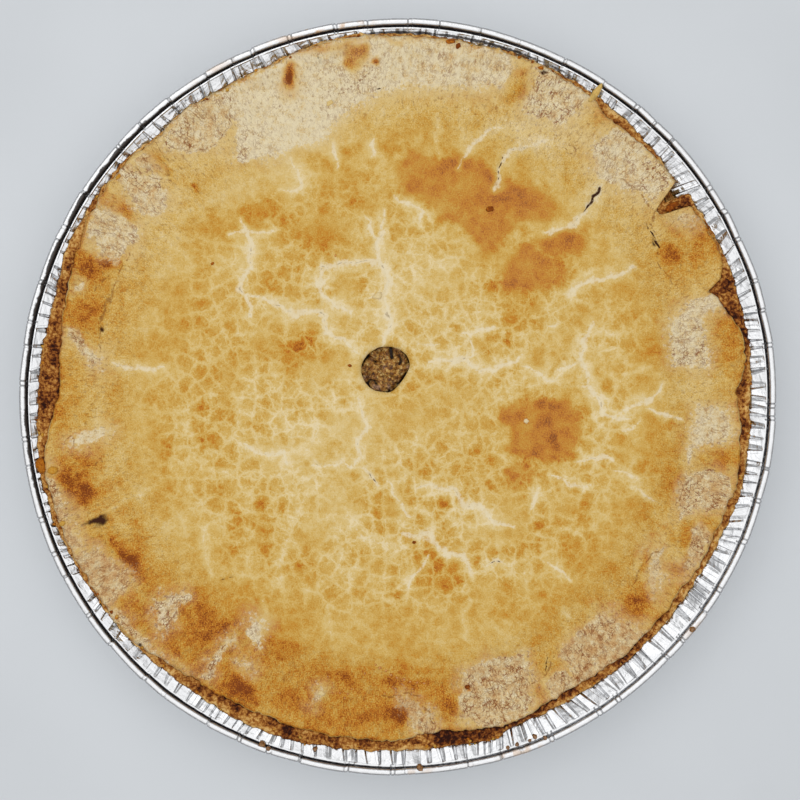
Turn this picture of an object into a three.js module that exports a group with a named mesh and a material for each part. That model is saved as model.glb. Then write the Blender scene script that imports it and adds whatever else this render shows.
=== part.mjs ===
// A tourtiere: a meat pie with two crusts, baked and sold in its own foil plate.
// Millimetres, +Z up. The origin is the middle of the plate's underside, on the surface that it stands on.
// Angles are in degrees, anticlockwise from +X, seen from above.

import * as THREE from "three";
import { mergeVertices } from "three/addons/utils/BufferGeometryUtils.js";

// Foil plate
const PLATE_RADIUS = 123; // outside of the rolled rim
const PLATE_HEIGHT = 32; // top of the rolled rim
const BASE_RADIUS = 100; // flat bottom, inside
const BASE_CORNER = 0.6; // chamfer between the base and the wall
const FLARE_RADIUS = 112; // above this point the wall leans out further
const FLARE_HEIGHT = 28;
const FOIL = 0.5;
const BEAD_RADIUS = 1.2; // the rolled rim's section
const BEAD_SIDES = 8;
const BEAD_START = 165; // direction of the section's first corner, next to the flange
const FLANGE_WIDTH = 1.3; // flat step between the wall's lip and the rolled rim
const PLEATS = 80;
const PLEAT_DEPTH = 0.45;
const FLARE_PLEATS = 0.7; // share of that depth where the flare begins
const PLEAT_VARIATION = 0.2; // share of the depth that comes and goes round the plate
const PLEAT_VARIATION_TURNS = 7;

// Bottom crust and filling
const GAP = 0.3; // clearance between neighbouring pieces
const BOTTOM_CRUST = 4;
const CRUST_CORNER = 3; // rounding between the crust's floor and its wall
const SHELF_RADIUS = 106; // inner edge of the bottom crust's rim, which carries the lid
const SHELF_DEPTH = 6; // height of the rim's thick part
const SHELF_TAPER = 2; // how far that part widens downwards
const RIM_CHAMFER = 1; // outer edge of the rim
const RIM_RADIUS = 116.8; // where the bottom crust's rim meets the plate, on average
const RIM_SHIFT = 1.2; // the rim lies this much further out, and higher, towards SHIFT_ANGLE
const SHIFT_ANGLE = 160;
const RIM_RIPPLE = 0.2;
const FILLING_TOP = 32;
const FILLING_FLAT_RADIUS = 84; // the filling's top slopes down outside this radius
const CRUMB_RADII = [2.2, 4.4, 6.6, 9]; // rings of meat crumbs that show at the vent
const CRUMB_DEPTH = 1.1;
const CRUMB_END = 11.2; // outside this ring the filling's top is level

// Lid
const LID_RADIUS = 113;
const LID_RIPPLE = 0.45;
const CROWN_THICKNESS = 4.2; // at the lid's middle
const SHOULDER_THICKNESS = 2.9; // where the filling's top begins to slope
const CREASE_THICKNESS = 1.6;
const BORDER_THICKNESS = 3.3;
const CREASE_RADIUS = 98; // fold between the lid's raised middle and its pressed border
const BORDER_START = 94;
const PRESS_RADIUS = 105.5; // middle of the finger presses
const PRESS_LENGTH = 6; // half a press, along the radius
const PRESS_DEPTH = 1.7;
const WAVE_HEIGHT = 0.35; // uneven swells over the lid's middle
const WAVE_LENGTHS = new THREE.Vector2(82, 107);
const LID_RINGS = [9.5, 24, 44, 64, 78, 88, 94, 98, 101.5, 105.5, 109.5]; // radii on the lid's top
const EDGE_MARGIN = 1.6; // the last of these rings keeps this far inside the torn edge
const EDGE_MARGIN_GROWTH = 0.2;
const EDGE_ROUNDING = [[0.9, 2.3], [0, 1.1], [0.7, 0]]; // torn edge: [inset, height above the underside]

// Steam vent, cut a little off the middle
const VENT_RADIUS = 8;
const VENT_LIP = 3.6; // thickness of the lid at the cut
const VENT = new THREE.Vector2(-4.2, 8.5);

// Segments round each piece
const CRUST_SEGMENTS = 120;
const FILLING_SEGMENTS = 60;
const LID_SEGMENTS = 144;

// What changes round the pie is listed as [angle, amount in mm, half-width in degrees].
const RIM_SWELLS = [
  [60, 0.8, 13],
  [97, 1, 11],
  [117, -1, 8],
  [155, 0.5, 7],
  [171, -0.9, 8],
  [206, 0.8, 18],
  [283, 0.6, 8],
  [314, -0.6, 18],
  [346, 0.6, 8],
];
const LID_SWELLS = [
  [74, 3.6, 20],
  [104, 2.4, 16],
  [136, 3.4, 20],
  [171, -2.6, 15],
  [206, 4.2, 19],
];
const LID_NOTCHES = [
  [0.5, 2.2, 2],
  [18.7, 8, 2.6],
  [35, 11, 1.7],
  [277, 2.4, 3],
  [299, 1.6, 3],
];
// Finger presses that crimp the lid to the bottom crust: [angle, half-width in degrees].
const PRESSES = [
  [10, 6.5], [26, 6.5], [44, 7.5], [62, 5.5], [75, 4.5], [86, 5], [102, 5.5], [114, 4.5], [126, 6.5],
  [138, 5.5], [151, 4.5], [161, 4], [173, 5], [187, 5], [198, 4.5], [211, 5.5], [223, 5], [235, 5],
  [248, 5.5], [260, 5], [272, 4.5], [289, 7], [307, 6.5], [327, 5], [342, 5.5], [355, 5],
];
// Flakes, blisters and pits on the lid: [angle, radius, height, half-width in mm].
const LID_MARKS = [
  [223, 99, 0.8, 4],
  [238, 89, 0.7, 4],
  [202.5, 106, -0.9, 3],
  [270, 64, 0.5, 3],
  [45, 92, -0.5, 3],
];

// Derived heights and slopes
const LIP_RADIUS = PLATE_RADIUS - 2 * BEAD_RADIUS - FLANGE_WIDTH;
const BEAD_CENTRE = new THREE.Vector2(PLATE_RADIUS - BEAD_RADIUS, PLATE_HEIGHT - BEAD_RADIUS);
const LIP_HEIGHT = BEAD_CENTRE.y;
const WALL_SLOPE = (FLARE_RADIUS - BASE_RADIUS) / (FLARE_HEIGHT - FOIL);
const FLARE_SLOPE = (LIP_RADIUS - FLARE_RADIUS) / (LIP_HEIGHT - FLARE_HEIGHT);
const WALL_WIDTH = FOIL * Math.hypot(1, WALL_SLOPE); // the foil's thickness, measured level
const FLARE_WIDTH = FOIL * Math.hypot(1, FLARE_SLOPE);
const CRUST_FLOOR = FOIL + GAP;
const CRUST_FLOOR_TOP = CRUST_FLOOR + BOTTOM_CRUST;
const FILLING_FLOOR = CRUST_FLOOR_TOP + GAP;

const { clamp, degToRad, lerp, smoothstep } = THREE.MathUtils;

// Angle from one direction to another, between -180 and 180.
function turnBetween(angle, other) {
  return ((((angle - other) % 360) + 540) % 360) - 180;
}

// A smooth bump that is 1 in its middle and falls to nothing over its half-width.
function bump(distance, width) {
  return Math.exp(-((distance / width) ** 2));
}

// Smooth swellings and hollows round the pie.
function swells(angle, list) {
  return list.reduce((sum, [at, amount, width]) => sum + amount * bump(turnBetween(angle, at), width), 0);
}

// Sharp cuts into an outline.
function notches(angle, list) {
  return list.reduce(
    (sum, [at, depth, width]) => sum + depth * Math.exp(-Math.abs(turnBetween(angle, at)) / width),
    0,
  );
}

// The small unevenness of a hand-trimmed edge, between about -1 and 1.
function ripple(angle) {
  const turn = degToRad(angle);
  return 0.5 * Math.sin(9 * turn + 1.3) + 0.3 * Math.sin(17 * turn + 4.1) + 0.2 * Math.sin(29 * turn + 2.2);
}

// A point in cylinder coordinates about a centre on the XY plane.
function around(angle, radius, height, centre = new THREE.Vector2()) {
  const turn = degToRad(angle);
  return new THREE.Vector3(
    centre.x + radius * Math.cos(turn),
    centre.y + radius * Math.sin(turn),
    height,
  );
}

// A turned solid whose rings may bend. Each ring is a function from angle to point. Together the rings
// trace the section's outline with the solid on their right, from axis to axis or back to the first ring.
function turnedSolid(outline, segments) {
  const rings = [...outline].reverse(); // the order in which a lathe's faces point out
  const section = rings.map((ring) => {
    const point = ring(0);
    return new THREE.Vector2(Math.hypot(point.x, point.y), point.z);
  });
  const geometry = new THREE.LatheGeometry(section, segments);
  const position = geometry.getAttribute("position");
  for (let turn = 0; turn <= segments; turn += 1) {
    const angle = (360 * (turn % segments)) / segments;
    rings.forEach((ring, index) => {
      const point = ring(angle);
      position.setXYZ(turn * rings.length + index, point.x, point.y, point.z);
    });
  }
  geometry.deleteAttribute("normal");
  geometry.deleteAttribute("uv");
  const solid = mergeVertices(geometry, 1e-4);
  solid.computeVertexNormals();
  return solid;
}

// Inside radius of the plate's wall, halfway between the crests and valleys of its pleats.
function wallRadius(height) {
  if (height < FLARE_HEIGHT) return BASE_RADIUS + (height - FOIL) * WALL_SLOPE;
  return FLARE_RADIUS + (height - FLARE_HEIGHT) * FLARE_SLOPE;
}

// The wall's pleats are deepest at the lip and fade towards the base.
function pleat(angle) {
  const variation = PLEAT_VARIATION * Math.sin(degToRad(PLEAT_VARIATION_TURNS * angle));
  const depth = PLEAT_DEPTH * (1 - PLEAT_VARIATION + variation);
  return depth * Math.cos(degToRad(PLEATS * angle));
}

// Inside radius of the wall where its flare begins.
function flareRadius(angle) {
  return FLARE_RADIUS + FLARE_PLEATS * pleat(angle);
}

// Outside radius of the bottom crust, clear of the pleats.
function crustRadius(height) {
  return wallRadius(height) - PLEAT_DEPTH - GAP;
}

// Inside radius of the bottom crust's wall.
function crustInside(height) {
  return crustRadius(height) - BOTTOM_CRUST;
}

// Outside radius of the bottom crust's rim.
function rimRadius(angle) {
  const shift = RIM_SHIFT * Math.cos(degToRad(angle - SHIFT_ANGLE));
  return RIM_RADIUS + shift + swells(angle, RIM_SWELLS) + RIM_RIPPLE * ripple(angle);
}

// Height at which the rim meets the plate: the shelf that the lid's border lies on.
function edgeHeight(angle) {
  return FLARE_HEIGHT + (rimRadius(angle) + PLEAT_DEPTH + GAP - FLARE_RADIUS) / FLARE_SLOPE;
}

// Underside of the lid: level over the filling, then down to the bottom crust's rim.
function lidUnderside(radius, angle) {
  const top = FILLING_TOP + GAP;
  const shelf = edgeHeight(angle) + GAP;
  const share = (radius - FILLING_FLAT_RADIUS) / (SHELF_RADIUS - FILLING_FLAT_RADIUS);
  return lerp(top, shelf, clamp(share, 0, 1));
}

// How deep the finger presses dent the lid's border.
function pressDepth(radius, angle) {
  const along = Math.exp(-(((radius - PRESS_RADIUS) / PRESS_LENGTH) ** 4));
  const deepest = Math.max(...PRESSES.map(([at, width]) => bump(turnBetween(angle, at), width)));
  return PRESS_DEPTH * along * deepest;
}

// Height of the flakes, blisters and pits at a point of the lid.
function markHeight(point) {
  return LID_MARKS.reduce((sum, [angle, radius, height, width]) => {
    const middle = around(angle, radius, 0);
    return sum + height * bump(Math.hypot(point.x - middle.x, point.y - middle.y), width);
  }, 0);
}

// Thickness of the lid: a shallow crown, a thin crease and a plump border with its presses.
function lidThickness(radius, angle) {
  const inwards = Math.min(radius / FILLING_FLAT_RADIUS, 1);
  const crown = lerp(CROWN_THICKNESS, SHOULDER_THICKNESS, inwards ** 2);
  const crease = lerp(crown, CREASE_THICKNESS, smoothstep(radius, FILLING_FLAT_RADIUS, CREASE_RADIUS));
  const border = (BORDER_THICKNESS - CREASE_THICKNESS) * smoothstep(radius, BORDER_START, PRESS_RADIUS);
  return crease + border - pressDepth(radius, angle);
}

// Uneven swells over the lid's middle, which die out at the border.
function lidWaves(point) {
  const across = Math.sin((2 * Math.PI * point.x) / WAVE_LENGTHS.x + 0.8);
  const along = Math.cos((2 * Math.PI * point.y) / WAVE_LENGTHS.y + 0.4);
  const radius = Math.hypot(point.x, point.y);
  return WAVE_HEIGHT * across * along * (1 - smoothstep(radius, FILLING_FLAT_RADIUS, SHELF_RADIUS));
}

// The lid's torn outline.
function lidRadius(angle) {
  const cut = LID_RADIUS + swells(angle, LID_SWELLS) - notches(angle, LID_NOTCHES);
  return cut + LID_RIPPLE * ripple(2 * angle);
}

// Share of the vent's offset that a ring of the lid keeps: all at the vent, none outside the crown.
function centring(radius) {
  return 1 - smoothstep(radius, VENT_RADIUS, FILLING_FLAT_RADIUS);
}

// The plate: a flat base, a pleated wall, a narrow flange and a rolled rim.
function plateGeometry() {
  const bead = Array.from({ length: BEAD_SIDES }, (_, side) => {
    const turn = degToRad(BEAD_START - (360 * side) / BEAD_SIDES);
    const radius = BEAD_CENTRE.x + BEAD_RADIUS * Math.cos(turn);
    const height = BEAD_CENTRE.y + BEAD_RADIUS * Math.sin(turn);
    return (angle) => around(angle, radius, height);
  });
  const inside = [
    () => new THREE.Vector3(0, 0, FOIL),
    (angle) => around(angle, BASE_RADIUS - BASE_CORNER, FOIL),
    (angle) => around(angle, wallRadius(FOIL + BASE_CORNER), FOIL + BASE_CORNER),
    (angle) => around(angle, flareRadius(angle), FLARE_HEIGHT),
    (angle) => around(angle, LIP_RADIUS + pleat(angle), LIP_HEIGHT),
  ];
  const outside = [
    (angle) => around(angle, LIP_RADIUS + FLARE_WIDTH + pleat(angle), LIP_HEIGHT - FOIL),
    (angle) => around(angle, flareRadius(angle) + WALL_WIDTH, FLARE_HEIGHT - FOIL / 2),
    (angle) => around(angle, BASE_RADIUS + WALL_WIDTH, FOIL),
    (angle) => around(angle, BASE_RADIUS - BASE_CORNER, 0),
    () => new THREE.Vector3(),
  ];
  return turnedSolid([...inside, ...bead, ...outside], 2 * PLEATS);
}

// The bottom crust: a shell pressed into the plate, with a thicker browned rim.
function bottomCrustGeometry() {
  const rings = [
    () => new THREE.Vector3(0, 0, CRUST_FLOOR_TOP),
    (angle) => around(angle, crustInside(FILLING_FLOOR) - CRUST_CORNER, CRUST_FLOOR_TOP),
    (angle) => around(angle, crustInside(FILLING_FLOOR + CRUST_CORNER), FILLING_FLOOR + CRUST_CORNER),
    (angle) => around(angle, SHELF_RADIUS - SHELF_TAPER, edgeHeight(angle) - SHELF_DEPTH),
    (angle) => around(angle, SHELF_RADIUS, edgeHeight(angle)),
    (angle) => around(angle, rimRadius(angle) - RIM_CHAMFER, edgeHeight(angle)),
    (angle) => around(angle, crustRadius(edgeHeight(angle) - RIM_CHAMFER), edgeHeight(angle) - RIM_CHAMFER),
    (angle) => around(angle, crustRadius(FLARE_HEIGHT), FLARE_HEIGHT),
    (angle) => around(angle, crustRadius(CRUST_FLOOR + CRUST_CORNER / 2), CRUST_FLOOR + CRUST_CORNER / 2),
    (angle) => around(angle, crustRadius(CRUST_FLOOR) - CRUST_CORNER / 2, CRUST_FLOOR),
    () => new THREE.Vector3(0, 0, CRUST_FLOOR),
  ];
  return turnedSolid(rings, CRUST_SEGMENTS);
}

// The filling: ground meat that fills the bottom crust and shows, rough, at the vent.
function fillingGeometry() {
  const side = (height) => crustInside(height) - GAP;
  const crumbs = CRUMB_RADII.map((radius, ring) => (angle) => {
    const lump = 0.5 + 0.5 * Math.sin(5 * ring + degToRad(angle * (4 + 2 * ring)));
    return around(angle, radius, FILLING_TOP - CRUMB_DEPTH * lump, VENT);
  });
  const rings = [
    () => new THREE.Vector3(VENT.x, VENT.y, FILLING_TOP - CRUMB_DEPTH / 3),
    ...crumbs,
    (angle) => around(angle, CRUMB_END, FILLING_TOP, VENT),
    (angle) => around(angle, FILLING_FLAT_RADIUS, FILLING_TOP),
    (angle) => around(angle, SHELF_RADIUS - GAP, lidUnderside(SHELF_RADIUS - GAP, angle) - GAP),
    (angle) => around(angle, SHELF_RADIUS - SHELF_TAPER - GAP, edgeHeight(angle) - SHELF_DEPTH),
    (angle) => around(angle, side(FILLING_FLOOR + CRUST_CORNER), FILLING_FLOOR + CRUST_CORNER),
    (angle) => around(angle, side(FILLING_FLOOR) - CRUST_CORNER, FILLING_FLOOR),
    () => new THREE.Vector3(0, 0, FILLING_FLOOR),
  ];
  return turnedSolid(rings, FILLING_SEGMENTS);
}

// The lid: a crowned sheet of pastry with the vent, a crease, finger presses and a torn, notched edge.
function lidGeometry() {
  const onTop = (radius) => (angle) => {
    const margin = EDGE_MARGIN + EDGE_MARGIN_GROWTH * (LID_RINGS.at(-1) - radius);
    const inset = Math.min(radius, lidRadius(angle) - margin);
    const point = around(angle, inset, 0, VENT.clone().multiplyScalar(centring(radius)));
    const fromMiddle = Math.hypot(point.x, point.y);
    const height = lidUnderside(fromMiddle, angle) + lidThickness(fromMiddle, angle);
    return point.setZ(height + lidWaves(point) + markHeight(point));
  };
  const atEdge = ([inset, rise]) => (angle) => {
    const radius = lidRadius(angle) - inset;
    return around(angle, radius, lidUnderside(radius, angle) + rise);
  };
  const under = (radius) => (angle) => {
    const inset = Math.min(radius, lidRadius(angle) - EDGE_MARGIN);
    return around(angle, inset, lidUnderside(inset, angle));
  };
  const ventFoot = (angle) => around(angle, VENT_RADIUS, FILLING_TOP + GAP, VENT);
  const rings = [
    ventFoot,
    (angle) => around(angle, VENT_RADIUS, FILLING_TOP + VENT_LIP, VENT),
    ...LID_RINGS.map(onTop),
    ...EDGE_ROUNDING.map(atEdge),
    under(SHELF_RADIUS),
    under(FILLING_FLAT_RADIUS),
    ventFoot,
  ];
  return turnedSolid(rings, LID_SEGMENTS);
}

function piece(name, geometry, color, roughness, metalness) {
  const mesh = new THREE.Mesh(geometry, new THREE.MeshStandardMaterial({ color, roughness, metalness }));
  mesh.name = name;
  return mesh;
}

const tourtiere = new THREE.Group();
tourtiere.add(
  piece("foil_plate", plateGeometry(), 0xd9dade, 0.25, 1),
  piece("bottom_crust", bottomCrustGeometry(), 0x9a5f2c, 0.85, 0),
  piece("meat_filling", fillingGeometry(), 0x7d5a38, 0.6, 0),
  piece("top_crust", lidGeometry(), 0xd9ad63, 0.7, 0),
);

export default tourtiere;
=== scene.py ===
"""Looks of a tourtiere in its foil plate. Every solid is modelled again, finer, and replaced.

Lengths are millimetres and angles are degrees, anticlockwise from +X seen from above, until a mesh is made.
Places that were read from the photograph stay in its pixels, and their names say so.
"""

import bpy
import numpy as np
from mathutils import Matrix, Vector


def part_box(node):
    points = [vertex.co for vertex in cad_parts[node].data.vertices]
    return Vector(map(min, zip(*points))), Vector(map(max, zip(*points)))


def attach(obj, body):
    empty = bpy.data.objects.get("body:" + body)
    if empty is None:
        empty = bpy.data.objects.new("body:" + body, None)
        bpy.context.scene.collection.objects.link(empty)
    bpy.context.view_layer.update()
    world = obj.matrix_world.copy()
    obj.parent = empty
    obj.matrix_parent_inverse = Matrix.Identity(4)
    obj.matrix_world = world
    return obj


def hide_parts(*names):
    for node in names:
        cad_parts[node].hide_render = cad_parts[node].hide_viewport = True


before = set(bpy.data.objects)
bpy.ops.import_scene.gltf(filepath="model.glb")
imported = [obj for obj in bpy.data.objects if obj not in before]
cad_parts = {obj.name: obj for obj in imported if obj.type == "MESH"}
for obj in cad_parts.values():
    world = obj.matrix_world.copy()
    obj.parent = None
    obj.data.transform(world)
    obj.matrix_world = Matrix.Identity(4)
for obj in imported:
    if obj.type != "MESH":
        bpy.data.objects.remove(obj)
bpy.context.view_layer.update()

MM = 0.001

# Camera, straight above the pie
PHOTO_PIXELS = 800
PIXEL = 0.3243  # a pixel of the photograph in the plane of the plate's rim
RIM_PLANE = 32
CAMERA_HEIGHT = 482
CAMERA_OVER = (0.49, -1.17)
SENSOR = 36
LID_PLANE = 35  # height at which places on the lid are read
EDGE_PLANE = 31.5  # height at which the pastry's outlines are read

# Foil plate, as in the solid
PLATE_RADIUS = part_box("foil_plate")[1].x / MM
PLATE_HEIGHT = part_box("foil_plate")[1].z / MM
BASE_RADIUS = 100
FLARE_RADIUS = 112
FLARE_HEIGHT = 28
FOIL = 0.4
BEAD_RADIUS = 1.15
LIP_RADIUS = 119.3
LIP_HEIGHT = 30.8
PLEAT_DEPTH = 0.45
GAP = 0.3
WALL_CLEARANCE = PLEAT_DEPTH + GAP  # from the wall to the bottom crust

# Bottom crust and filling, as in the solids
BOTTOM_CRUST = 4
CRUST_FLOOR = 0.8
CRUST_CORNER = 3
SHELF_RADIUS = 106
SHELF_DEPTH = 6
SHELF_TAPER = 2
RIM_RADIUS = 116.8
RIM_SHIFT = 1.2
SHIFT_ANGLE = 160
RIM_RIPPLE = 0.2
FILLING_TOP = 32
FILLING_FLAT_RADIUS = 84
FILLING_FLOOR = 5.1

# Lid, as in the solid
CROWN_THICKNESS = 4.2
SHOULDER_THICKNESS = 2.9
CREASE_THICKNESS = 1.6
BORDER_THICKNESS = 3.3
CREASE_RADIUS = 98
BORDER_START = 94
PRESS_RADIUS = 105.5
PRESS_LENGTH = 6
PRESS_DEPTH = 1.7
WAVE_HEIGHT = 0.35
WAVE_LENGTHS = (82, 107)
WAVE_STARTS = (0.8, 0.4)
VENT_RADIUS = 8
VENT = (-4.2, 8.5)

# Fineness of the new meshes
LID_STEP = 0.69
LID_OUTLINE_START = 92  # outside this radius the rings of the lid bend towards its torn outline
LID_NOMINAL_RADIUS = 113
CRUST_COLUMNS = 1080
MEAT_STEP = 0.3
MEAT_RADIUS = 10.5

# What changes round the pie: (angle, amount, half-width)
RIM_SWELLS = (
    (60, 0.8, 13), (97, 1, 11), (117, -1, 8), (155, 0.5, 7), (171, -0.9, 8), (206, 0.8, 18),
    (283, 0.6, 8), (314, -0.6, 18), (346, 0.6, 8),
)
VENT_SWELLS = ((30, 0.75, 35), (325, -1.3, 36), (173, 0.3, 25), (258, -0.3, 20))
VENT_CUT = 7.6  # radius of the hole where it doesn't swell
# Finger presses: (angle, half-width)
PRESSES = (
    (10, 6.5), (26, 6.5), (44, 7.5), (62, 5.5), (75, 4.5), (86, 5), (102, 5.5), (114, 4.5), (126, 6.5),
    (138, 5.5), (151, 4.5), (161, 4), (173, 5), (187, 5), (198, 4.5), (211, 5.5), (223, 5), (235, 5),
    (248, 5.5), (260, 5), (272, 4.5), (289, 7), (307, 6.5), (327, 5), (342, 5.5), (355, 5),
)
# Outlines read round the plate's middle: (angle, radius in pixels)
LID_EDGE_PIXELS = (
    (0, 341), (0.5, 338), (2, 342), (5, 349), (10, 350), (14, 341), (17, 336), (18.7, 326), (20, 343),
    (22, 351), (25, 352), (30, 351), (33.2, 349), (33.7, 340), (34.2, 328), (34.8, 318), (35.8, 317),
    (36.6, 328), (37.7, 350), (45, 351), (53, 348), (57, 356), (67, 361), (75, 360), (90, 361), (97, 363),
    (105, 359), (110, 356), (117, 354), (120, 353), (127, 357), (132, 353), (137, 357), (142, 359),
    (150, 358), (155, 352), (160, 350), (165, 345), (170, 342), (175, 340), (180, 340), (185, 349),
    (190, 360), (200, 362), (210, 361), (220, 361), (225, 359), (228, 354), (235, 348), (245, 347),
    (260, 346), (270, 345), (275, 338), (278, 336), (283, 343), (290, 346), (295, 341), (300, 339),
    (305, 342), (310, 344), (320, 343), (330, 345), (340, 346), (345, 349), (350, 347), (355, 343),
)
CRUST_EDGE_PIXELS = (
    (0, 352), (10, 355), (20, 355), (30, 354), (35.2, 353), (35.9, 331), (37.2, 330), (37.8, 352),
    (40, 352), (50, 357), (60, 360), (75, 361), (90, 362), (97, 364), (105, 360), (112, 356), (120, 354),
    (127, 358), (132, 355), (140, 361), (150, 362), (155, 364), (160, 359), (168, 357), (175, 359),
    (182, 361), (190, 364), (200, 365), (210, 363), (220, 362), (230, 360), (235, 359), (242, 361),
    (250, 360), (260, 357), (270, 354), (280, 354), (285, 356), (290, 350), (300, 349), (315, 350),
    (330, 350), (345, 355), (355, 353),
)
# Brown plateaus of the lid: (amount, outline in pixels)
BROWN_SHAPES = (
    (0.24, ((403, 158), (413, 150), (436, 156), (460, 150), (475, 157), (491, 166), (496, 180),
            (510, 181), (526, 185), (542, 191), (553, 200), (550, 219), (525, 224), (509, 230),
            (501, 247), (495, 257), (479, 254), (471, 240), (460, 227), (441, 219), (434, 208),
            (422, 200), (403, 195), (399, 178))),
    (0.20, ((538, 246), (546, 234), (560, 227), (575, 223), (587, 227), (585, 243), (577, 255),
            (560, 261), (548, 259))),
    (0.23, ((508, 259), (517, 249), (534, 246), (548, 254), (556, 266), (568, 274), (567, 286),
            (551, 290), (525, 293), (500, 291), (494, 282), (506, 272))),
    (0.21, ((497, 412), (510, 401), (530, 394), (555, 396), (572, 402), (584, 413), (583, 433),
            (578, 449), (562, 466), (545, 462), (525, 458), (508, 448), (509, 430), (498, 424))),
    (0.17, ((504, 474), (512, 462), (528, 462), (538, 473), (534, 488), (511, 487))),
)
# Browning of the lid, in pixels: (x, y, half-width, half-height, turn, amount)
BROWN_PATCHES = (
    (285, 172, 30, 16, 0, -0.07), (340, 140, 30, 14, 0, -0.06), (238, 196, 26, 14, 0, -0.06),
    (412, 192, 12, 9, 0, 0.03), (500, 200, 110, 60, -25, 0.02), (530, 312, 18, 22, 0, 0.16),
    (547, 412, 14, 10, 0, 0.05), (545, 430, 70, 50, 0, 0.03), (550, 440, 6, 6, 0, 0.14),
    (512, 440, 6, 10, 0, 0.08), (565, 270, 40, 40, 0, 0.02), (265, 215, 22, 12, 0, 0.22),
    (315, 236, 32, 20, -20, 0.20), (218, 228, 14, 12, 0, 0.18), (298, 348, 26, 13, 0, 0.20),
    (270, 290, 12, 13, 0, 0.14), (245, 350, 24, 16, 0, 0.10), (155, 438, 12, 10, 0, 0.10),
    (173, 450, 7, 9, 0, 0.16), (255, 425, 9, 11, 0, 0.20), (208, 445, 12, 8, 0, 0.16),
    (220, 462, 7, 6, 0, 0.16), (214, 487, 13, 11, 0, 0.18), (258, 505, 8, 7, 0, 0.22),
    (248, 530, 22, 18, 0, 0.10), (305, 462, 5, 6, 0, 0.24), (330, 450, 13, 9, 0, 0.16),
    (300, 405, 8, 8, 0, 0.18), (325, 415, 10, 8, 0, 0.16), (360, 495, 12, 14, 0, 0.12),
    (375, 508, 6, 8, 0, 0.16), (310, 548, 8, 7, 0, 0.14), (462, 484, 4, 6, 0, 0.20),
    (437, 502, 9, 6, 0, 0.18), (443, 530, 6, 11, 15, 0.20), (430, 545, 8, 6, 0, 0.18),
    (503, 550, 12, 7, 0, 0.12), (572, 545, 14, 20, 0, 0.16), (580, 515, 6, 12, 0, 0.14),
    (625, 318, 12, 9, 0, 0.14), (650, 345, 20, 20, 0, 0.12), (645, 388, 14, 12, 0, 0.10),
    (660, 460, 15, 14, 0, 0.14), (640, 515, 14, 12, 0, 0.12), (640, 595, 12, 10, 0, 0.12),
    (320, 162, 15, 9, 0, 0.14), (355, 148, 9, 6, 0, 0.14), (390, 148, 9, 6, 0, 0.14),
    (540, 640, 15, 6, 10, 0.14), (440, 577, 22, 20, 0, 0.10), (130, 560, 30, 9, -48, 0.22),
    (215, 622, 34, 16, -22, 0.08), (278, 648, 26, 13, 0, 0.10), (240, 690, 15, 10, -30, 0.30),
    (345, 678, 34, 16, 0, 0.05), (392, 712, 30, 9, 0, 0.18), (300, 702, 40, 14, -10, 0.02),
    (180, 600, 28, 18, -40, 0.05), (55, 424, 7, 14, 0, 0.10), (66, 410, 9, 11, 0, 0.10),
    (85, 488, 13, 10, -20, 0.10), (376, 65, 4, 3, 0, 0.26), (530, 83, 5, 5, 0, 0.20),
    (90, 265, 9, 7, 0, 0.20), (110, 260, 7, 5, 0, 0.20), (193, 187, 4, 4, 0, 0.40),
    (130, 210, 11, 5, 0, 0.20), (668, 255, 11, 10, 0, 0.28), (690, 536, 11, 10, 0, 0.26),
    (690, 560, 6, 8, 0, 0.26), (716, 455, 16, 15, 0, 0.16), (725, 348, 20, 30, 0, 0.12),
    (697, 246, 18, 22, 0, 0.10), (420, 672, 30, 6, -8, 0.18), (425, 705, 18, 18, 0, 0.12),
    (110, 660, 30, 10, -45, 0.10), (175, 612, 120, 42, -45, 0.14), (300, 688, 140, 44, -12, 0.10),
    (400, 700, 70, 32, 5, 0.10), (660, 400, 30, 120, 0, 0.04),
)
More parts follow.
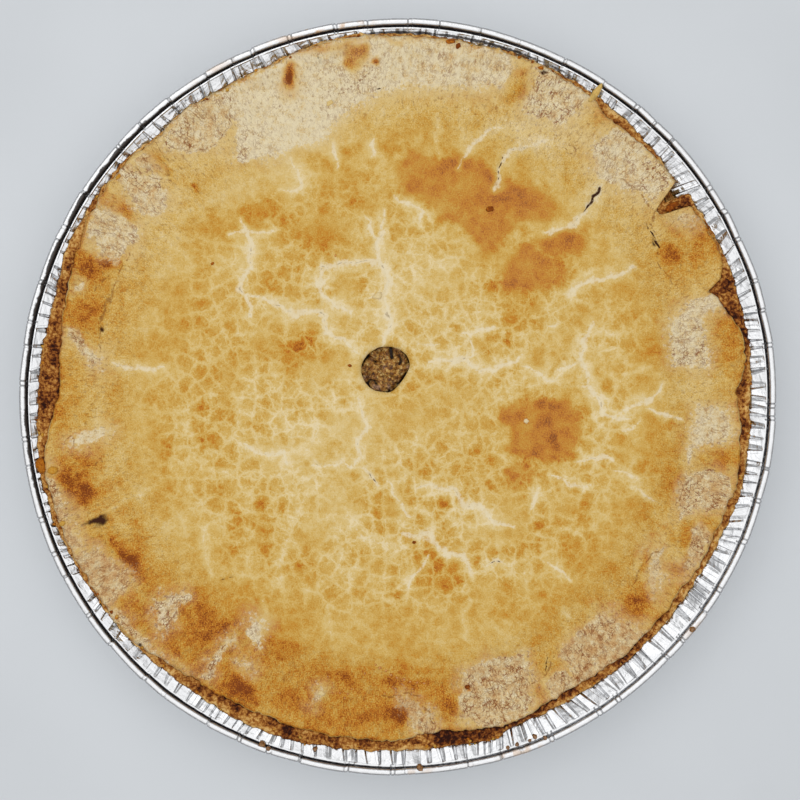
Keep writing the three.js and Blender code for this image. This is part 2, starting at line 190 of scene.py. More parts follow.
# Broad paler and browner areas of the lid, in pixels: (x, y, half-width, half-height, turn, amount)
BROAD_TONES = (
    (290, 115, 70, 32, 22, -0.26), (430, 72, 90, 30, 0, -0.26), (560, 112, 60, 40, -35, -0.22),
    (625, 165, 40, 40, 0, -0.12), (695, 330, 28, 42, 0, -0.20), (710, 430, 22, 40, 0, -0.16),
    (130, 190, 40, 60, -40, -0.10), (318, 112, 30, 24, 0, -0.10), (150, 200, 26, 70, -40, -0.10),
    (170, 275, 26, 40, 0, -0.08), (600, 165, 60, 40, -40, -0.10), (640, 215, 30, 34, 0, -0.06),
    (100, 430, 14, 10, 0, -0.16), (95, 350, 14, 30, 0, -0.06), (475, 525, 40, 14, -15, -0.06),
    (560, 320, 30, 18, 0, -0.06), (560, 610, 20, 14, 0, -0.05), (350, 420, 40, 40, 0, -0.05),
    (315, 440, 85, 95, 0, -0.10), (440, 250, 55, 65, 0, -0.11), (390, 168, 40, 26, 0, -0.08),
    (510, 126, 26, 16, 0, -0.20), (552, 152, 26, 18, 0, -0.10), (335, 122, 18, 14, 0, -0.10),
    (225, 170, 50, 30, 0, -0.06), (450, 350, 40, 45, 0, -0.07), (640, 372, 50, 18, 0, -0.07),
    (545, 545, 15, 15, 0, -0.10), (195, 555, 22, 22, 0, -0.07), (195, 475, 18, 16, 0, -0.07),
    (372, 90, 20, 14, 0, -0.14), (405, 270, 20, 25, 0, -0.06), (685, 230, 16, 14, 0, -0.08),
    (580, 265, 20, 16, 0, -0.07), (180, 302, 30, 26, 0, 0.12), (165, 440, 24, 18, 0, 0.12),
    (140, 195, 32, 22, 0, 0.10), (602, 585, 45, 55, 0, 0.11), (425, 562, 36, 32, 0, 0.10),
    (240, 610, 40, 26, 0, 0.14), (158, 612, 20, 20, 0, 0.10), (530, 615, 36, 22, 0, 0.09),
    (720, 405, 14, 14, 0, 0.12), (720, 475, 12, 20, 0, 0.10), (580, 370, 14, 14, 0, 0.12),
    (320, 268, 30, 20, 0, 0.08), (90, 310, 18, 60, 0, 0.07), (92, 545, 14, 14, 0, 0.12),
    (682, 575, 16, 18, 0, 0.09), (282, 90, 32, 10, 0, 0.15), (386, 56, 30, 8, 0, 0.15),
    (160, 400, 24, 20, 0, 0.06), (235, 512, 20, 12, 0, 0.08), (240, 230, 20, 16, 0, 0.07),
)
# What the border shows, round the plate's middle: (angle, radius in pixels, half-angle, half-radius, amount)
BORDER_BROWN = (
    (9, 334, 6.5, 16, 0.10), (27, 325, 5.5, 22, 0.10), (28, 306, 2.6, 11, 0.14),
    (30.5, 332, 1.5, 12, 0.12), (54, 338, 2.4, 14, 0.16), (52, 302, 2.2, 12, 0.10),
    (69, 331, 2.1, 20, 0.34), (78, 336, 2.5, 4, 0.12), (97.2, 338, 1.9, 16, 0.40),
    (98, 334, 0.8, 6, 0.34), (96, 345, 1.0, 6, 0.26), (94.3, 331, 0.6, 4, 0.85),
    (108.7, 339, 1.3, 9, 0.50), (108.5, 339, 0.7, 5, 0.70), (109, 328, 3.4, 20, 0.17),
    (105, 357, 12, 4, 0.20), (128, 358, 6, 3, 0.10), (123, 331, 2, 8, 0.08), (135.5, 333, 1.8, 18, 0.22),
    (133.8, 293, 0.7, 4, 0.45), (145.4, 333, 1.3, 19, 0.30), (151, 354, 4, 5, 0.22),
    (157, 333, 2.5, 20, 0.21), (166, 330, 3.3, 19, 0.20), (177, 330, 4, 12, 0.16), (183, 341, 3, 6, 0.22),
    (183, 320, 4, 14, 0.16), (197, 326, 2, 14, 0.34), (194, 342, 2, 8, 0.34), (192, 328, 3.5, 18, 0.20),
    (210, 316, 5.5, 7, 0.22), (219.5, 340, 3, 12, 0.20), (228.5, 325, 5.5, 25, 0.02),
    (230, 300, 3.5, 14, 0.07), (242, 330, 2.6, 11, 0.27), (246, 280, 1.6, 12, 0.08),
    (252, 325, 8, 20, 0.08), (265, 320, 6, 25, 0.10), (258.5, 290, 3, 7, 0.08),
    (270.5, 317, 1.4, 12, 0.22), (269, 285, 3, 8, 0.14), (274.5, 286, 2.5, 6, 0.26),
    (279, 315, 2.3, 25, 0.18), (280, 312, 0.8, 10, 0.16), (283.3, 298, 0.35, 2.5, 0.80),
    (299, 300, 3, 14, 0.16), (294.8, 328, 1.2, 12, 0.30), (309, 322, 3, 14, 0.10),
    (319, 316, 4.2, 15, 0.18), (325.5, 296.5, 3.6, 2.6, 0.22), (328.7, 329, 1.3, 10, 0.26),
    (338.4, 335, 1.6, 9, 0.24), (344, 322, 1.2, 8, 0.20), (349.8, 330, 2.2, 18, 0.16),
    (343, 283, 4, 9, 0.16), (352, 283, 4, 8, 0.12), (334, 315, 2, 10, 0.14), (163, 316, 6, 12, 0.12),
    (158, 322, 4, 12, 0.12), (83, 353, 4, 6, 0.14), (90, 357, 5, 4, 0.18), (76, 353, 3, 7, 0.14),
    (101, 352, 3, 6, 0.14), (116, 344, 2, 8, 0.12),
)
# Floury shapes of the border: (how pale, outline as (angle, radius in pixels))
FLOUR_SHAPES = (
    (0.8, ((92, 312), (84, 311), (78, 313), (74.5, 316), (72, 325), (71.3, 340), (71.5, 357), (78, 361),
           (92, 361))),
    (0.6, ((67, 350), (66.8, 330), (67, 312), (63, 309), (60, 311), (58.5, 320), (57.5, 335), (57, 348),
           (57.5, 358), (62, 361), (66, 359))),
    (0.7, ((51.5, 348), (52.3, 330), (52.6, 314), (50.5, 308), (49, 300), (47, 296), (45, 301), (44, 309),
           (41, 318), (38, 319), (37.6, 335), (38.2, 348), (45, 350))),
    (0.5, ((33.6, 345), (33, 330), (31.5, 325), (30.5, 335), (30.8, 347))),
    (0.8, ((17.8, 338), (18.2, 322), (17.6, 305), (16.5, 293), (14.5, 282), (11, 274), (8, 273), (6, 283),
           (5.3, 298), (5.5, 312), (8.5, 318), (11, 314), (13.5, 313), (15, 322), (15.3, 336),
           (16.5, 340))),
    (1.0, ((121, 350), (120.6, 330), (120.8, 315), (122.5, 298), (124.4, 290), (124, 281), (119, 274),
           (112, 267), (106, 268), (102.5, 280), (100, 291), (96, 299), (91, 307), (88, 316), (88, 356),
           (97, 363), (105, 358), (112, 353))),
    (0.5, ((132.6, 348), (132.9, 333), (131.8, 322), (129.5, 314), (126.5, 310.5), (123.5, 313),
           (121.2, 321), (119.7, 333), (119.6, 345), (123, 355), (129, 356))),
    (0.4, ((138.6, 354), (138.2, 336), (137.2, 322), (136, 330), (135.6, 345), (136, 354))),
    (0.5, ((144.2, 330), (144.5, 318), (143.5, 306), (141, 296), (138.7, 303), (138.3, 320), (138.8, 340),
           (139.5, 354), (142.5, 356), (143.5, 345))),
    (0.6, ((154.6, 313), (155, 325), (153, 338), (151.5, 350), (148.5, 355), (146.9, 348), (146.6, 332),
           (147.4, 318), (147, 308), (150, 305))),
    (0.5, ((168.3, 338), (168.2, 327), (170, 319), (171.5, 310), (172, 300), (174.5, 299), (174.2, 312),
           (172, 322), (170.5, 334))),
    (0.6, ((162, 341), (161.6, 334), (160.3, 333), (159.8, 339))),
    (0.8, ((188.6, 318), (188.2, 300), (187, 292), (185.9, 298), (186.2, 312), (186.8, 330), (188, 328))),
    (0.2, ((206, 362), (205.5, 350), (203.5, 345), (200, 350), (196.5, 349), (193.5, 353), (191, 358),
           (195, 364), (200, 366))),
    (0.1, ((216.5, 358), (216.2, 345), (215.5, 333), (214, 322), (212.5, 319), (211, 325), (208.5, 333),
           (206.3, 338), (206, 350), (206.5, 360), (212, 363))),
    (0.3, ((233, 346), (229, 352), (226, 352), (224, 347), (222.5, 352), (219.5, 346), (217, 348),
           (217, 360), (224, 362), (229, 356))),
    (0.6, ((225.2, 330), (224.8, 318), (224.2, 303), (223.2, 283), (222.2, 285), (221, 300), (220.3, 315),
           (221, 326), (222, 322), (223.5, 331))),
    (0.4, ((236, 343), (235.6, 325), (236, 308), (235.8, 292), (234.4, 296), (234.5, 310), (234.2, 330),
           (234, 343))),
    (0.9, ((241, 287), (240, 275), (239, 262), (237.2, 262), (237, 278), (238, 285))),
    (0.3, ((256.8, 306), (255.5, 316), (254, 318), (254, 308), (256, 301))),
    (0.2, ((243, 311), (240.5, 316), (237.5, 312), (239, 307), (241.5, 306))),
    (0.2, ((276.8, 333), (275.5, 318), (273, 302), (270.5, 294), (269.5, 305), (271.5, 322), (273, 338),
           (275.5, 340))),
    (0.35, ((295.6, 282), (295.2, 300), (295.5, 315), (293.5, 325), (294.5, 335), (292, 343), (288, 344),
            (284, 340), (281, 330), (281.5, 310), (282.5, 295), (283.3, 279), (288, 276), (292, 278))),
    (0.3, ((302, 340), (301, 318), (298, 318), (296, 325), (296.5, 343), (299, 343))),
    (0.2, ((314.2, 300), (314.5, 318), (315.5, 330), (316, 343), (309, 345), (302, 343), (300.5, 335),
           (302, 325), (302.5, 310), (303, 298), (307, 297), (309, 291), (312, 294))),
    (0.5, ((330.5, 302), (327, 312), (325, 320), (322.5, 322), (322.8, 310), (325.5, 302), (328, 297))),
    (0.2, ((337.4, 330), (336.5, 343), (331, 343), (328, 338), (328.5, 328), (331, 331), (334, 325))),
    (0.35, ((346.5, 310), (346.6, 326), (346.8, 343), (342, 345), (340.2, 335), (339.5, 322),
            (337.5, 310), (336.3, 303), (338.5, 296), (342, 294.5), (345, 300))),
    (0.7, ((358.2, 294), (358.4, 312), (357.8, 330), (354, 332), (351.2, 324), (350.8, 306), (346.5, 299),
           (348, 293), (353, 290))),
)
# How floury the border is between the presses: (angle, amount, half-width)
FLOUR_BASE = ((95, 0.42, 40), (45, 0.2, 15), (15, 0.05, 20), (340, 0.1, 25), (300, 0.12, 18), (203, 0.1, 20))
# Where the flour's edges are soft, and where it is smooth: (angle, amount, half-width)
SOFT_FLOUR = ((112, 0.8, 12), (85, 0.6, 10), (12, 0.5, 8), (355, 0.6, 6))
SOFT_REACH = 24.0  # how far a soft edge fades, in pixels
SMOOTH_FLOUR = ((109, 0.75, 11), (88, 0.5, 6), (78, 0.3, 6), (15, 0.4, 5), (355, 0.3, 5), (187, 0.8, 4))
# Creases of the border, darkened partly by browning and partly by painted shade: (half-width in pixels,
# places as (angle, radius in pixels))
CREASES = (
    (1.6, ((172, 302), (168, 304), (165, 306), (160, 303), (156, 304), (150, 303))),
    (1.3, ((161, 320), (159, 318), (157.5, 314), (156.5, 310))),
    (1.8, ((45, 308), (43, 314), (41, 317), (38.5, 313), (36, 314), (34, 306), (31.5, 302))),
    (1.4, ((30, 299), (29, 294), (27.5, 291), (24.5, 293), (21, 297))),
    (1.4, ((132.5, 345), (132, 330), (130, 318), (127, 311), (124.5, 312), (122, 320), (120, 332),
           (119, 345))),
    (1.3, ((105.5, 325), (103.5, 316), (100.5, 308), (98.5, 312), (95.5, 322), (93.5, 332))),
    (0.9, ((139, 350), (138.6, 335), (138, 322), (136.8, 312), (135.2, 322), (134, 335), (133.5, 350))),
    (1.2, ((276.5, 332), (275.8, 322), (275, 313), (274, 305))),
    (1.6, ((331.5, 312), (330, 303), (327.5, 297), (325, 296), (322, 299), (320, 302))),
    (1.1, ((347, 325), (346.3, 312), (344, 302), (341, 297), (338, 299), (336.3, 308))),
    (1.3, ((302.5, 300), (300.5, 304), (298.5, 312), (297, 316), (295.8, 312))),
    (1.2, ((296, 322), (294.5, 310), (291, 306), (288, 307))),
    (1.3, ((262, 345), (261, 332), (260.5, 320))),
    (1.4, ((275.5, 300), (272, 296), (268, 299), (264, 296))),
    (1.1, ((196, 312), (193, 310), (191.5, 304), (194, 302))),
    (1.4, ((216, 318), (212, 320), (208, 324))),
    (1.2, ((57, 301), (55.5, 296), (54, 300), (55.5, 305), (57, 301))),
    (1.2, ((53, 312), (51.5, 325), (51, 345))),
    (1.0, ((188.5, 336), (187.2, 334), (186.6, 329), (187.6, 326), (189, 328))),
    (1.2, ((245, 345), (243, 341), (240, 342), (236, 345))),
)
# Where the fine crackle is strongest, in pixels: (x, y, half-width, half-height, turn, amount)
CRACKLE_PATCHES = (
    (310, 480, 130, 110, 0, 0.9), (470, 530, 110, 80, 0, 0.8), (540, 350, 90, 60, 0, 0.8),
    (300, 300, 90, 60, 0, 0.6), (420, 290, 90, 70, 0, 0.8), (620, 430, 60, 90, 0, 0.5),
    (250, 400, 90, 60, 0, 0.5),
)
# Broad pale cracks of the lid: lists of pixels
CRACKS = (
    ((383, 213), (384, 230), (377, 243), (377, 259), (386, 271), (390, 282), (385, 296), (386, 309),
     (390, 324), (384, 343)),
    ((362, 218), (371, 221), (372, 233), (377, 243)),
    ((378, 262), (360, 262), (345, 264), (333, 267), (322, 266), (320, 280), (321, 292), (328, 300),
     (338, 306), (350, 312)),
    ((240, 220), (246, 230), (250, 240), (250, 255), (249, 270), (242, 280), (240, 288), (246, 295),
     (250, 305), (250, 315)),
    ((229, 234), (246, 232), (262, 234), (275, 230)),
    ((243, 292), (258, 297), (270, 302), (282, 309), (292, 315), (305, 313), (318, 312), (325, 320),
     (327, 333), (340, 340), (352, 347), (360, 354)),
    ((394, 196), (405, 203), (418, 207), (422, 213), (420, 226)),
    ((111, 363), (124, 366), (146, 370), (168, 366)),
    ((292, 160), (297, 170), (302, 180), (300, 191), (283, 192)),
    ((332, 143), (334, 155), (339, 168)),
    ((374, 140), (373, 150), (370, 158)),
    ((602, 184), (596, 195), (590, 205), (583, 213), (572, 224), (560, 229), (546, 233)),
    ((635, 268), (625, 271), (612, 276), (600, 280), (588, 279), (580, 285), (573, 292), (568, 297)),
    ((592, 322), (588, 335), (582, 345), (581, 362), (588, 375), (592, 390)),
    ((428, 361), (440, 360), (452, 363), (465, 360), (472, 366), (480, 370), (492, 369), (505, 364),
     (520, 360)),
    ((523, 367), (533, 368), (540, 375), (545, 382), (555, 380)),
    ((555, 372), (565, 368), (578, 363)),
    ((462, 333), (475, 333), (480, 329), (495, 328)),
    ((472, 335), (474, 350), (465, 360)),
    ((420, 345), (438, 345)),
    ((548, 328), (558, 324)),
    ((360, 400), (361, 412), (368, 423), (366, 430), (358, 440), (357, 447), (360, 458), (355, 462)),
    ((355, 464), (340, 464), (325, 466), (313, 463)),
    ((362, 468), (369, 475), (374, 480), (378, 486)),
    ((388, 480), (393, 487), (396, 495), (400, 502), (405, 512), (410, 518)),
    ((417, 487), (430, 486), (440, 488), (455, 490), (460, 498), (466, 505), (478, 508), (485, 513),
     (492, 520), (505, 524), (513, 527)),
    ((400, 533), (418, 537), (430, 533), (434, 540), (440, 548), (450, 554), (462, 555), (468, 563),
     (472, 575)),
    ((430, 553), (423, 562), (415, 572), (408, 580), (408, 592)),
    ((480, 565), (492, 563), (500, 562), (506, 564)),
    ((546, 562), (556, 566), (565, 575), (572, 582)),
    ((552, 476), (562, 478), (570, 482), (580, 487), (590, 485)),
    ((575, 462), (588, 458), (600, 456), (615, 462)),
    ((540, 485), (535, 495), (530, 510)),
    ((240, 445), (255, 450), (270, 455), (285, 452), (287, 465)),
    ((500, 125), (490, 130), (480, 138), (470, 147), (462, 158), (460, 167)),
    ((545, 140), (525, 147), (510, 152), (505, 160), (500, 170), (498, 180), (496, 190)),
    ((583, 387), (596, 395), (602, 405), (602, 415), (615, 417), (628, 418)),
    ((622, 412), (632, 405), (642, 402), (652, 399), (658, 394), (662, 384)),
    ((641, 421), (632, 428), (621, 432)),
    ((612, 470), (625, 473), (635, 480)),
    ((635, 487), (642, 493), (655, 503)),
    ((648, 407), (656, 411), (668, 416), (685, 420)),
)
# Fainter cracks of the lid: lists of pixels
FAINT_CRACKS = (
    ((317, 418), (318, 430), (314, 442), (307, 450), (290, 452)),
    ((275, 424), (277, 438), (283, 450)),
    ((299, 512), (291, 523), (286, 538), (281, 555), (280, 572), (281, 592)),
    ((345, 510), (353, 522), (361, 536), (372, 543), (386, 546), (399, 546), (401, 531), (402, 516)),
    ((205, 525), (204, 540), (208, 560), (210, 575)),
    ((348, 544), (343, 556), (337, 568)),
    ((361, 556), (356, 567), (352, 578), (350, 592)),
    ((330, 605), (331, 625), (332, 640)),
    ((437, 112), (436, 130), (437, 145), (438, 158)),
    ((422, 212), (433, 221)),
    ((160, 235), (170, 243), (182, 252)),
    ((112, 507), (120, 503), (135, 497), (148, 490), (155, 484)),
    ((600, 330), (612, 335), (620, 342)),
    ((625, 375), (640, 370), (650, 366)),
    ((470, 600), (463, 615), (467, 640)),
    ((562, 608), (570, 618)),
    ((525, 550), (526, 565), (527, 580)),
    ((223, 650), (228, 640), (236, 633)),
    ((264, 600), (266, 615), (262, 632), (254, 644)),
    ((220, 470), (235, 474)),
    ((560, 525), (570, 530), (580, 535)),
)
# Dark hairlines and slits of the lid: (half-width, pixels)
SLITS = (
    (2.0, ((601, 187), (598, 192), (593, 196), (592, 202), (588, 207))),
    (0.7, ((588, 207), (583, 213), (578, 220))),
    (1.2, ((648, 222), (653, 231), (656, 238), (660, 246), (658, 254))),
    (0.7, ((369, 473), (374, 480), (378, 485))),
    (0.8, ((503, 153), (500, 165), (498, 175), (496, 188))),
    (0.6, ((503, 153), (512, 150), (522, 147), (533, 145))),
    (0.6, ((490, 563), (498, 561), (504, 564))),
    (0.5, ((314, 462), (318, 465), (326, 464))),
    (0.7, ((218, 582), (226, 579), (233, 576), (237, 577))),
    (0.6, ((550, 655), (548, 665), (545, 675))),
    (0.7, ((376, 88), (381, 86), (385, 84))),
)
# Dark holes and scorched spots of the border: (angle, radius in pixels, half-angle, half-radius, amount)
HOLES = (
    (166.5, 305, 0.5, 2.5, 1.0), (81.5, 358, 0.6, 3, 1.0), (66.5, 355, 0.6, 3, 1.0),
    (116.5, 352, 0.5, 3, 0.8), (132, 354, 0.5, 2.5, 0.9), (202.1, 333, 0.4, 10, 1.0),
    (202.9, 324, 0.7, 6, 0.8), (203, 328, 1.8, 16, 0.3), (30.5, 301, 0.5, 2, 1.0),
    (31.3, 303, 0.3, 1.6, 0.9), (54, 353, 1.2, 2, 0.7), (51, 353, 1, 2, 0.5), (98.5, 347, 0.2, 2, 0.8),
    (102.6, 346, 0.3, 2.5, 0.7), (103, 349, 0.2, 2, 0.7), (224.5, 359, 0.4, 3, 1.0),
    (294.5, 338, 0.2, 4, 0.6), (297.5, 327, 0.5, 2, 0.6),
)
CRACK_WIDTH = 2.8  # half-width of a long crack where it is widest, in pixels
FAINTNESS = 1.0  # how much farther away a faint crack counts as, in half-widths of it
CRACK_LENGTH = 80  # cracks of this length or more, in pixels, are as wide as that
FAR = 8.0  # stands for any greater distance from a line, in half-widths of it
# Small things on the lid: (x, y, half-width, height in mm, browning, flour), in pixels
BLISTERS = (
    (64, 475, 4, 0.5, 0.1, 0), (70, 470, 4, 0.5, 0.15, 0), (76, 476, 3, 0.4, 0.2, 0),
    (86, 486, 4, 0.4, 0.2, 0), (92, 492, 3, 0.4, 0.2, 0), (112, 545, 4, 0.4, 0.2, 0),
    (122, 553, 4, 0.4, 0.2, 0), (130, 560, 3, 0.4, 0.2, 0), (317, 302, 2.5, 0.5, 0.25, 0),
    (299, 565, 2.5, 0.5, 0.2, 0), (326, 561, 2.5, 0.4, 0.1, 0), (398, 594, 4, 0.6, 0.3, 0),
    (378, 297, 4, 0.5, -0.3, 0.8), (322, 692, 6, 0.4, -0.3, 0.5), (266, 586, 4, 0.2, -0.25, 0.5),
    (425, 360, 3, 0.1, 0.2, 0), (470, 426, 4, 0.2, 0.22, 0), (429, 465, 4, 0.2, 0.2, 0),
    (269, 285, 2, 0.2, 0.3, 0), (240, 385, 4, 0.2, 0.18, 0), (210, 380, 5, 0.2, 0.15, 0),
    (326, 383, 6, 0.2, 0.16, 0), (367, 411, 5, 0.3, 0.18, 0), (345, 400, 4, 0.2, 0.15, 0),
    (540, 525, 5, 0.2, 0.15, 0),
)


# Shapes of numbers
RIPPLES = ((0.5, 9, 1.3), (0.3, 17, 4.1), (0.2, 29, 2.2))  # (amount, waves round the pie, start)
LATTICE = 256  # noise repeats after this many lumps


def smoothstep(value, low, high):
    share = np.clip((value - low) / (high - low), 0, 1)
    return share * share * (3 - 2 * share)


def lerp(first, second, share):
    return first + (second - first) * share


def bump(distance, width):
    return np.exp(-((distance / width) ** 2))


def saturated(value, top):
    """The value itself when small, and never more than top."""
    return top * (1 - np.exp(-value / top))


def turn_between(angle, other):
    return (angle - other + 180) % 360 - 180


def swells(angle, table):
    return sum(amount * bump(turn_between(angle, at), width) for at, amount, width in table)


def ripple(angle):
    turn = np.radians(angle)
    return sum(amount * np.sin(waves * turn + start) for amount, waves, start in RIPPLES)


def on_circle(radius, angle):
    turn = np.radians(angle)
    return radius * np.cos(turn), radius * np.sin(turn)


def polar(x, y):
    """Radius and angle of a place."""
    return np.hypot(x, y), np.degrees(np.arctan2(y, x))


def ring_angles(count):
    return np.arange(count) * 360 / count


def around(angle, radius, height, centre=(0, 0)):
    x, y = on_circle(radius, angle)
    return np.stack(np.broadcast_arrays(centre[0] + x, centre[1] + y, height), axis=-1).astype(float)


# Noise
def noise(x, y, size, seed):
    """Smooth noise between -1 and 1, with lumps about as large as size. Each seed gives another pattern."""
    table = np.random.default_rng(seed).uniform(-1, 1, (LATTICE, LATTICE))
    column = np.floor(x / size).astype(int)
    row = np.floor(y / size).astype(int)
    across = smoothstep(x / size - column, 0, 1)
    along = smoothstep(y / size - row, 0, 1)

    def corner(right, up):
        return table[(column + right) % LATTICE, (row + up) % LATTICE]

    return lerp(
        lerp(corner(0, 0), corner(1, 0), across),
        lerp(corner(0, 1), corner(1, 1), across),
        along,
    )


def rough(x, y, size, seed, layers=3):
    """Noise with finer and weaker layers of itself."""
    return sum(noise(x, y, size / 2**layer, seed + layer) / 2**layer for layer in range(layers))


def layered(x, y, table):
    """Sum of noises, each (amount, size, seed)."""
    return sum(amount * noise(x, y, size, seed) for amount, size, seed in table)


def cell_walls(x, y, size, seed):
    """Distance to the nearest wall of an irregular net of cells."""
    jitter = np.random.default_rng(seed).uniform(0, 1, (LATTICE, LATTICE, 2))
    place = np.stack([x / size, y / size], axis=-1)
    corner = np.floor(place).astype(int)

    def seed_point(right, up):
        index = corner + (right, up)
        return index + jitter[index[..., 0] % LATTICE, index[..., 1] % LATTICE] - place

    near = [(right, up) for right in (-1, 0, 1) for up in (-1, 0, 1)]
    points = np.stack([seed_point(*step) for step in near])
    first = np.argmin((points**2).sum(-1), axis=0)[None, ..., None]
    closest = np.take_along_axis(points, first, axis=0)[0]
    wall = np.full(x.shape, np.inf)
    for right in (-2, -1, 0, 1, 2):
        for up in (-2, -1, 0, 1, 2):
            other = seed_point(right, up)
            apart = other - closest
            length = np.sqrt((apart**2).sum(-1))
            middle = ((other + closest) / 2 * apart).sum(-1) / np.maximum(length, 1e-9)
            wall = np.where(length > 1e-6, np.minimum(wall, middle), wall)
    return wall * size


# The photograph's pixels
def pixel_size(height):
    return PIXEL * (CAMERA_HEIGHT - height) / (CAMERA_HEIGHT - RIM_PLANE)


def to_pixels(x, y, height):
    size = pixel_size(height)
    across = PHOTO_PIXELS / 2 + (x - CAMERA_OVER[0]) / size
    down = PHOTO_PIXELS / 2 - (y - CAMERA_OVER[1]) / size
    return across, down


def from_pixels(across, down, height):
    size = pixel_size(height)
    x = CAMERA_OVER[0] + (across - PHOTO_PIXELS / 2) * size
    y = CAMERA_OVER[1] - (down - PHOTO_PIXELS / 2) * size
    return x, y


def outline(angle, table):
    angles, pixels = np.array(table, float).T
    return np.interp(angle % 360, angles, pixels, period=360) * pixel_size(EDGE_PLANE)


def ring_points(places):
    """Pixels round the plate's middle, from angles and radii."""
    angles, radii = np.array(places, float).T
    return np.stack(on_circle(radii, angles), axis=-1)


def patches(u, v, table, firmness=2):
    """Sum of soft ovals, in pixels. More firmness gives them clearer edges."""
    total = np.zeros(u.shape)
    for x, y, half_width, half_height, turn, amount in table:
        cosine, sine = on_circle(1, turn)
        across = ((u - x) * cosine - (v - y) * sine) / half_width
        along = ((u - x) * sine + (v - y) * cosine) / half_height
        total += amount * np.exp(-(np.hypot(across, along) ** firmness))
    return total


def border_patches(angle, radius, table, firmness=2):
    """Sum of soft patches of the border, with the radius in pixels."""
    total = np.zeros(angle.shape)
    for at, middle, half_angle, half_radius, amount in table:
        across = turn_between(angle, at) / half_angle
        along = (radius - middle) / half_radius
        total += amount * np.exp(-(np.hypot(across, along) ** firmness))
    return total


def line_distance(u, v, points):
    """Distance to a broken line, in pixels, and the nearest place along it, from 0 to 1."""
    points = np.array(points, float)
    lengths = np.hypot(*np.diff(points, axis=0).T)
    starts = np.concatenate([[0], np.cumsum(lengths)])
    nearest = np.full(u.shape, np.inf)
    share = np.zeros(u.shape)
    for index, length in enumerate(lengths):
        start, step = points[index], (points[index + 1] - points[index]) / length
        along = np.clip((u - start[0]) * step[0] + (v - start[1]) * step[1], 0, length)
        distance = np.hypot(u - start[0] - along * step[0], v - start[1] - along * step[1])
        closer = distance < nearest
        nearest = np.where(closer, distance, nearest)
        share = np.where(closer, (starts[index] + along) / starts[-1], share)
    return nearest, share


def nearest_line(u, v, lines, wobble=1):
    """Distance from the nearest of some lines, in half-widths of it. The lines grow thin at their ends."""
    nearest = np.full(u.shape, FAR)
    for half_width, points in lines:
        distance, share = line_distance(u, v, points)
        width = half_width * (0.5 + 0.5 * np.sin(np.pi * share)) * wobble
        nearest = np.minimum(nearest, distance / width)
    return nearest


def inside(u, v, points):
    """Whether places lie inside a closed outline."""
    crossings = np.zeros(u.shape, int)
    for (first_u, first_v), (next_u, next_v) in zip(points, np.roll(points, -1, axis=0)):
        level = (first_v > v) != (next_v > v)
        slope = (next_u - first_u) / (next_v - first_v if next_v != first_v else 1)
        crossings += level & (u < first_u + (v - first_v) * slope)
    return crossings % 2 == 1


def shape_depth(u, v, shapes, reach=FAR):
    """Depth inside the nearest of some outlines, in pixels, and its tone. Outside, the depth is below 0."""
    depth = np.full(u.shape, -reach)
    tone = np.zeros(u.shape)
    for shape_tone, points in shapes:
        points = np.array(points, float)
        low, high = points.min(axis=0) - reach, points.max(axis=0) + reach
        near = np.flatnonzero((u > low[0]) & (u < high[0]) & (v > low[1]) & (v < high[1]))
        distance, _ = line_distance(u[near], v[near], np.append(points, points[:1], axis=0))
        signed = np.where(inside(u[near], v[near], points), distance, -distance)
        deeper = signed > depth[near]
        depth[near] = np.where(deeper, signed, depth[near])
        tone[near] = np.where(deeper, shape_tone, tone[near])
    return np.minimum(depth, reach), tone


# Forms shared by the pieces
def wall_radius(height):
    steep = BASE_RADIUS + (height - FOIL) * (FLARE_RADIUS - BASE_RADIUS) / (FLARE_HEIGHT - FOIL)
    slope = (LIP_RADIUS - FLARE_RADIUS) / (LIP_HEIGHT - FLARE_HEIGHT)
    flare = FLARE_RADIUS + (height - FLARE_HEIGHT) * slope
    return np.where(height < FLARE_HEIGHT, steep, flare)


def wall_height(radius):
    """Height of the flared part of the wall at a radius."""
    slope = (LIP_HEIGHT - FLARE_HEIGHT) / (LIP_RADIUS - FLARE_RADIUS)
    return FLARE_HEIGHT + (radius - FLARE_RADIUS) * slope


def edge_height(angle):
    shift = RIM_SHIFT * np.cos(np.radians(angle - SHIFT_ANGLE))
    rim = RIM_RADIUS + shift + swells(angle, RIM_SWELLS) + RIM_RIPPLE * ripple(angle)
    return wall_height(rim + WALL_CLEARANCE)


def lid_underside(radius, angle):
    share = np.clip((radius - FILLING_FLAT_RADIUS) / (SHELF_RADIUS - FILLING_FLAT_RADIUS), 0, 1)
    return lerp(FILLING_TOP + GAP, edge_height(angle) + GAP, share)


def press_depth(radius, angle):
    along = np.exp(-(((radius - PRESS_RADIUS) / PRESS_LENGTH) ** 4))
    deepest = np.max([bump(turn_between(angle, at), width) for at, width in PRESSES], axis=0)
    return PRESS_DEPTH * along * deepest


def lid_thickness(radius, angle):
    inwards = np.minimum(radius / FILLING_FLAT_RADIUS, 1)
    crown = lerp(CROWN_THICKNESS, SHOULDER_THICKNESS, inwards**2)
    crease = lerp(crown, CREASE_THICKNESS, smoothstep(radius, FILLING_FLAT_RADIUS, CREASE_RADIUS))
    border = (BORDER_THICKNESS - CREASE_THICKNESS) * smoothstep(radius, BORDER_START, PRESS_RADIUS)
    return crease + border - press_depth(radius, angle)


def lid_waves(x, y):
    across = np.sin(2 * np.pi * x / WAVE_LENGTHS[0] + WAVE_STARTS[0])
    along = np.cos(2 * np.pi * y / WAVE_LENGTHS[1] + WAVE_STARTS[1])
    fading = 1 - smoothstep(np.hypot(x, y), FILLING_FLAT_RADIUS, SHELF_RADIUS)
    return WAVE_HEIGHT * across * along * fading


def rounded(inset):
    """Height of a quarter circle, as a share, from its foot at 0 to its top at 1."""
    return np.sqrt(1 - (1 - np.clip(inset, 0, 1)) ** 2)


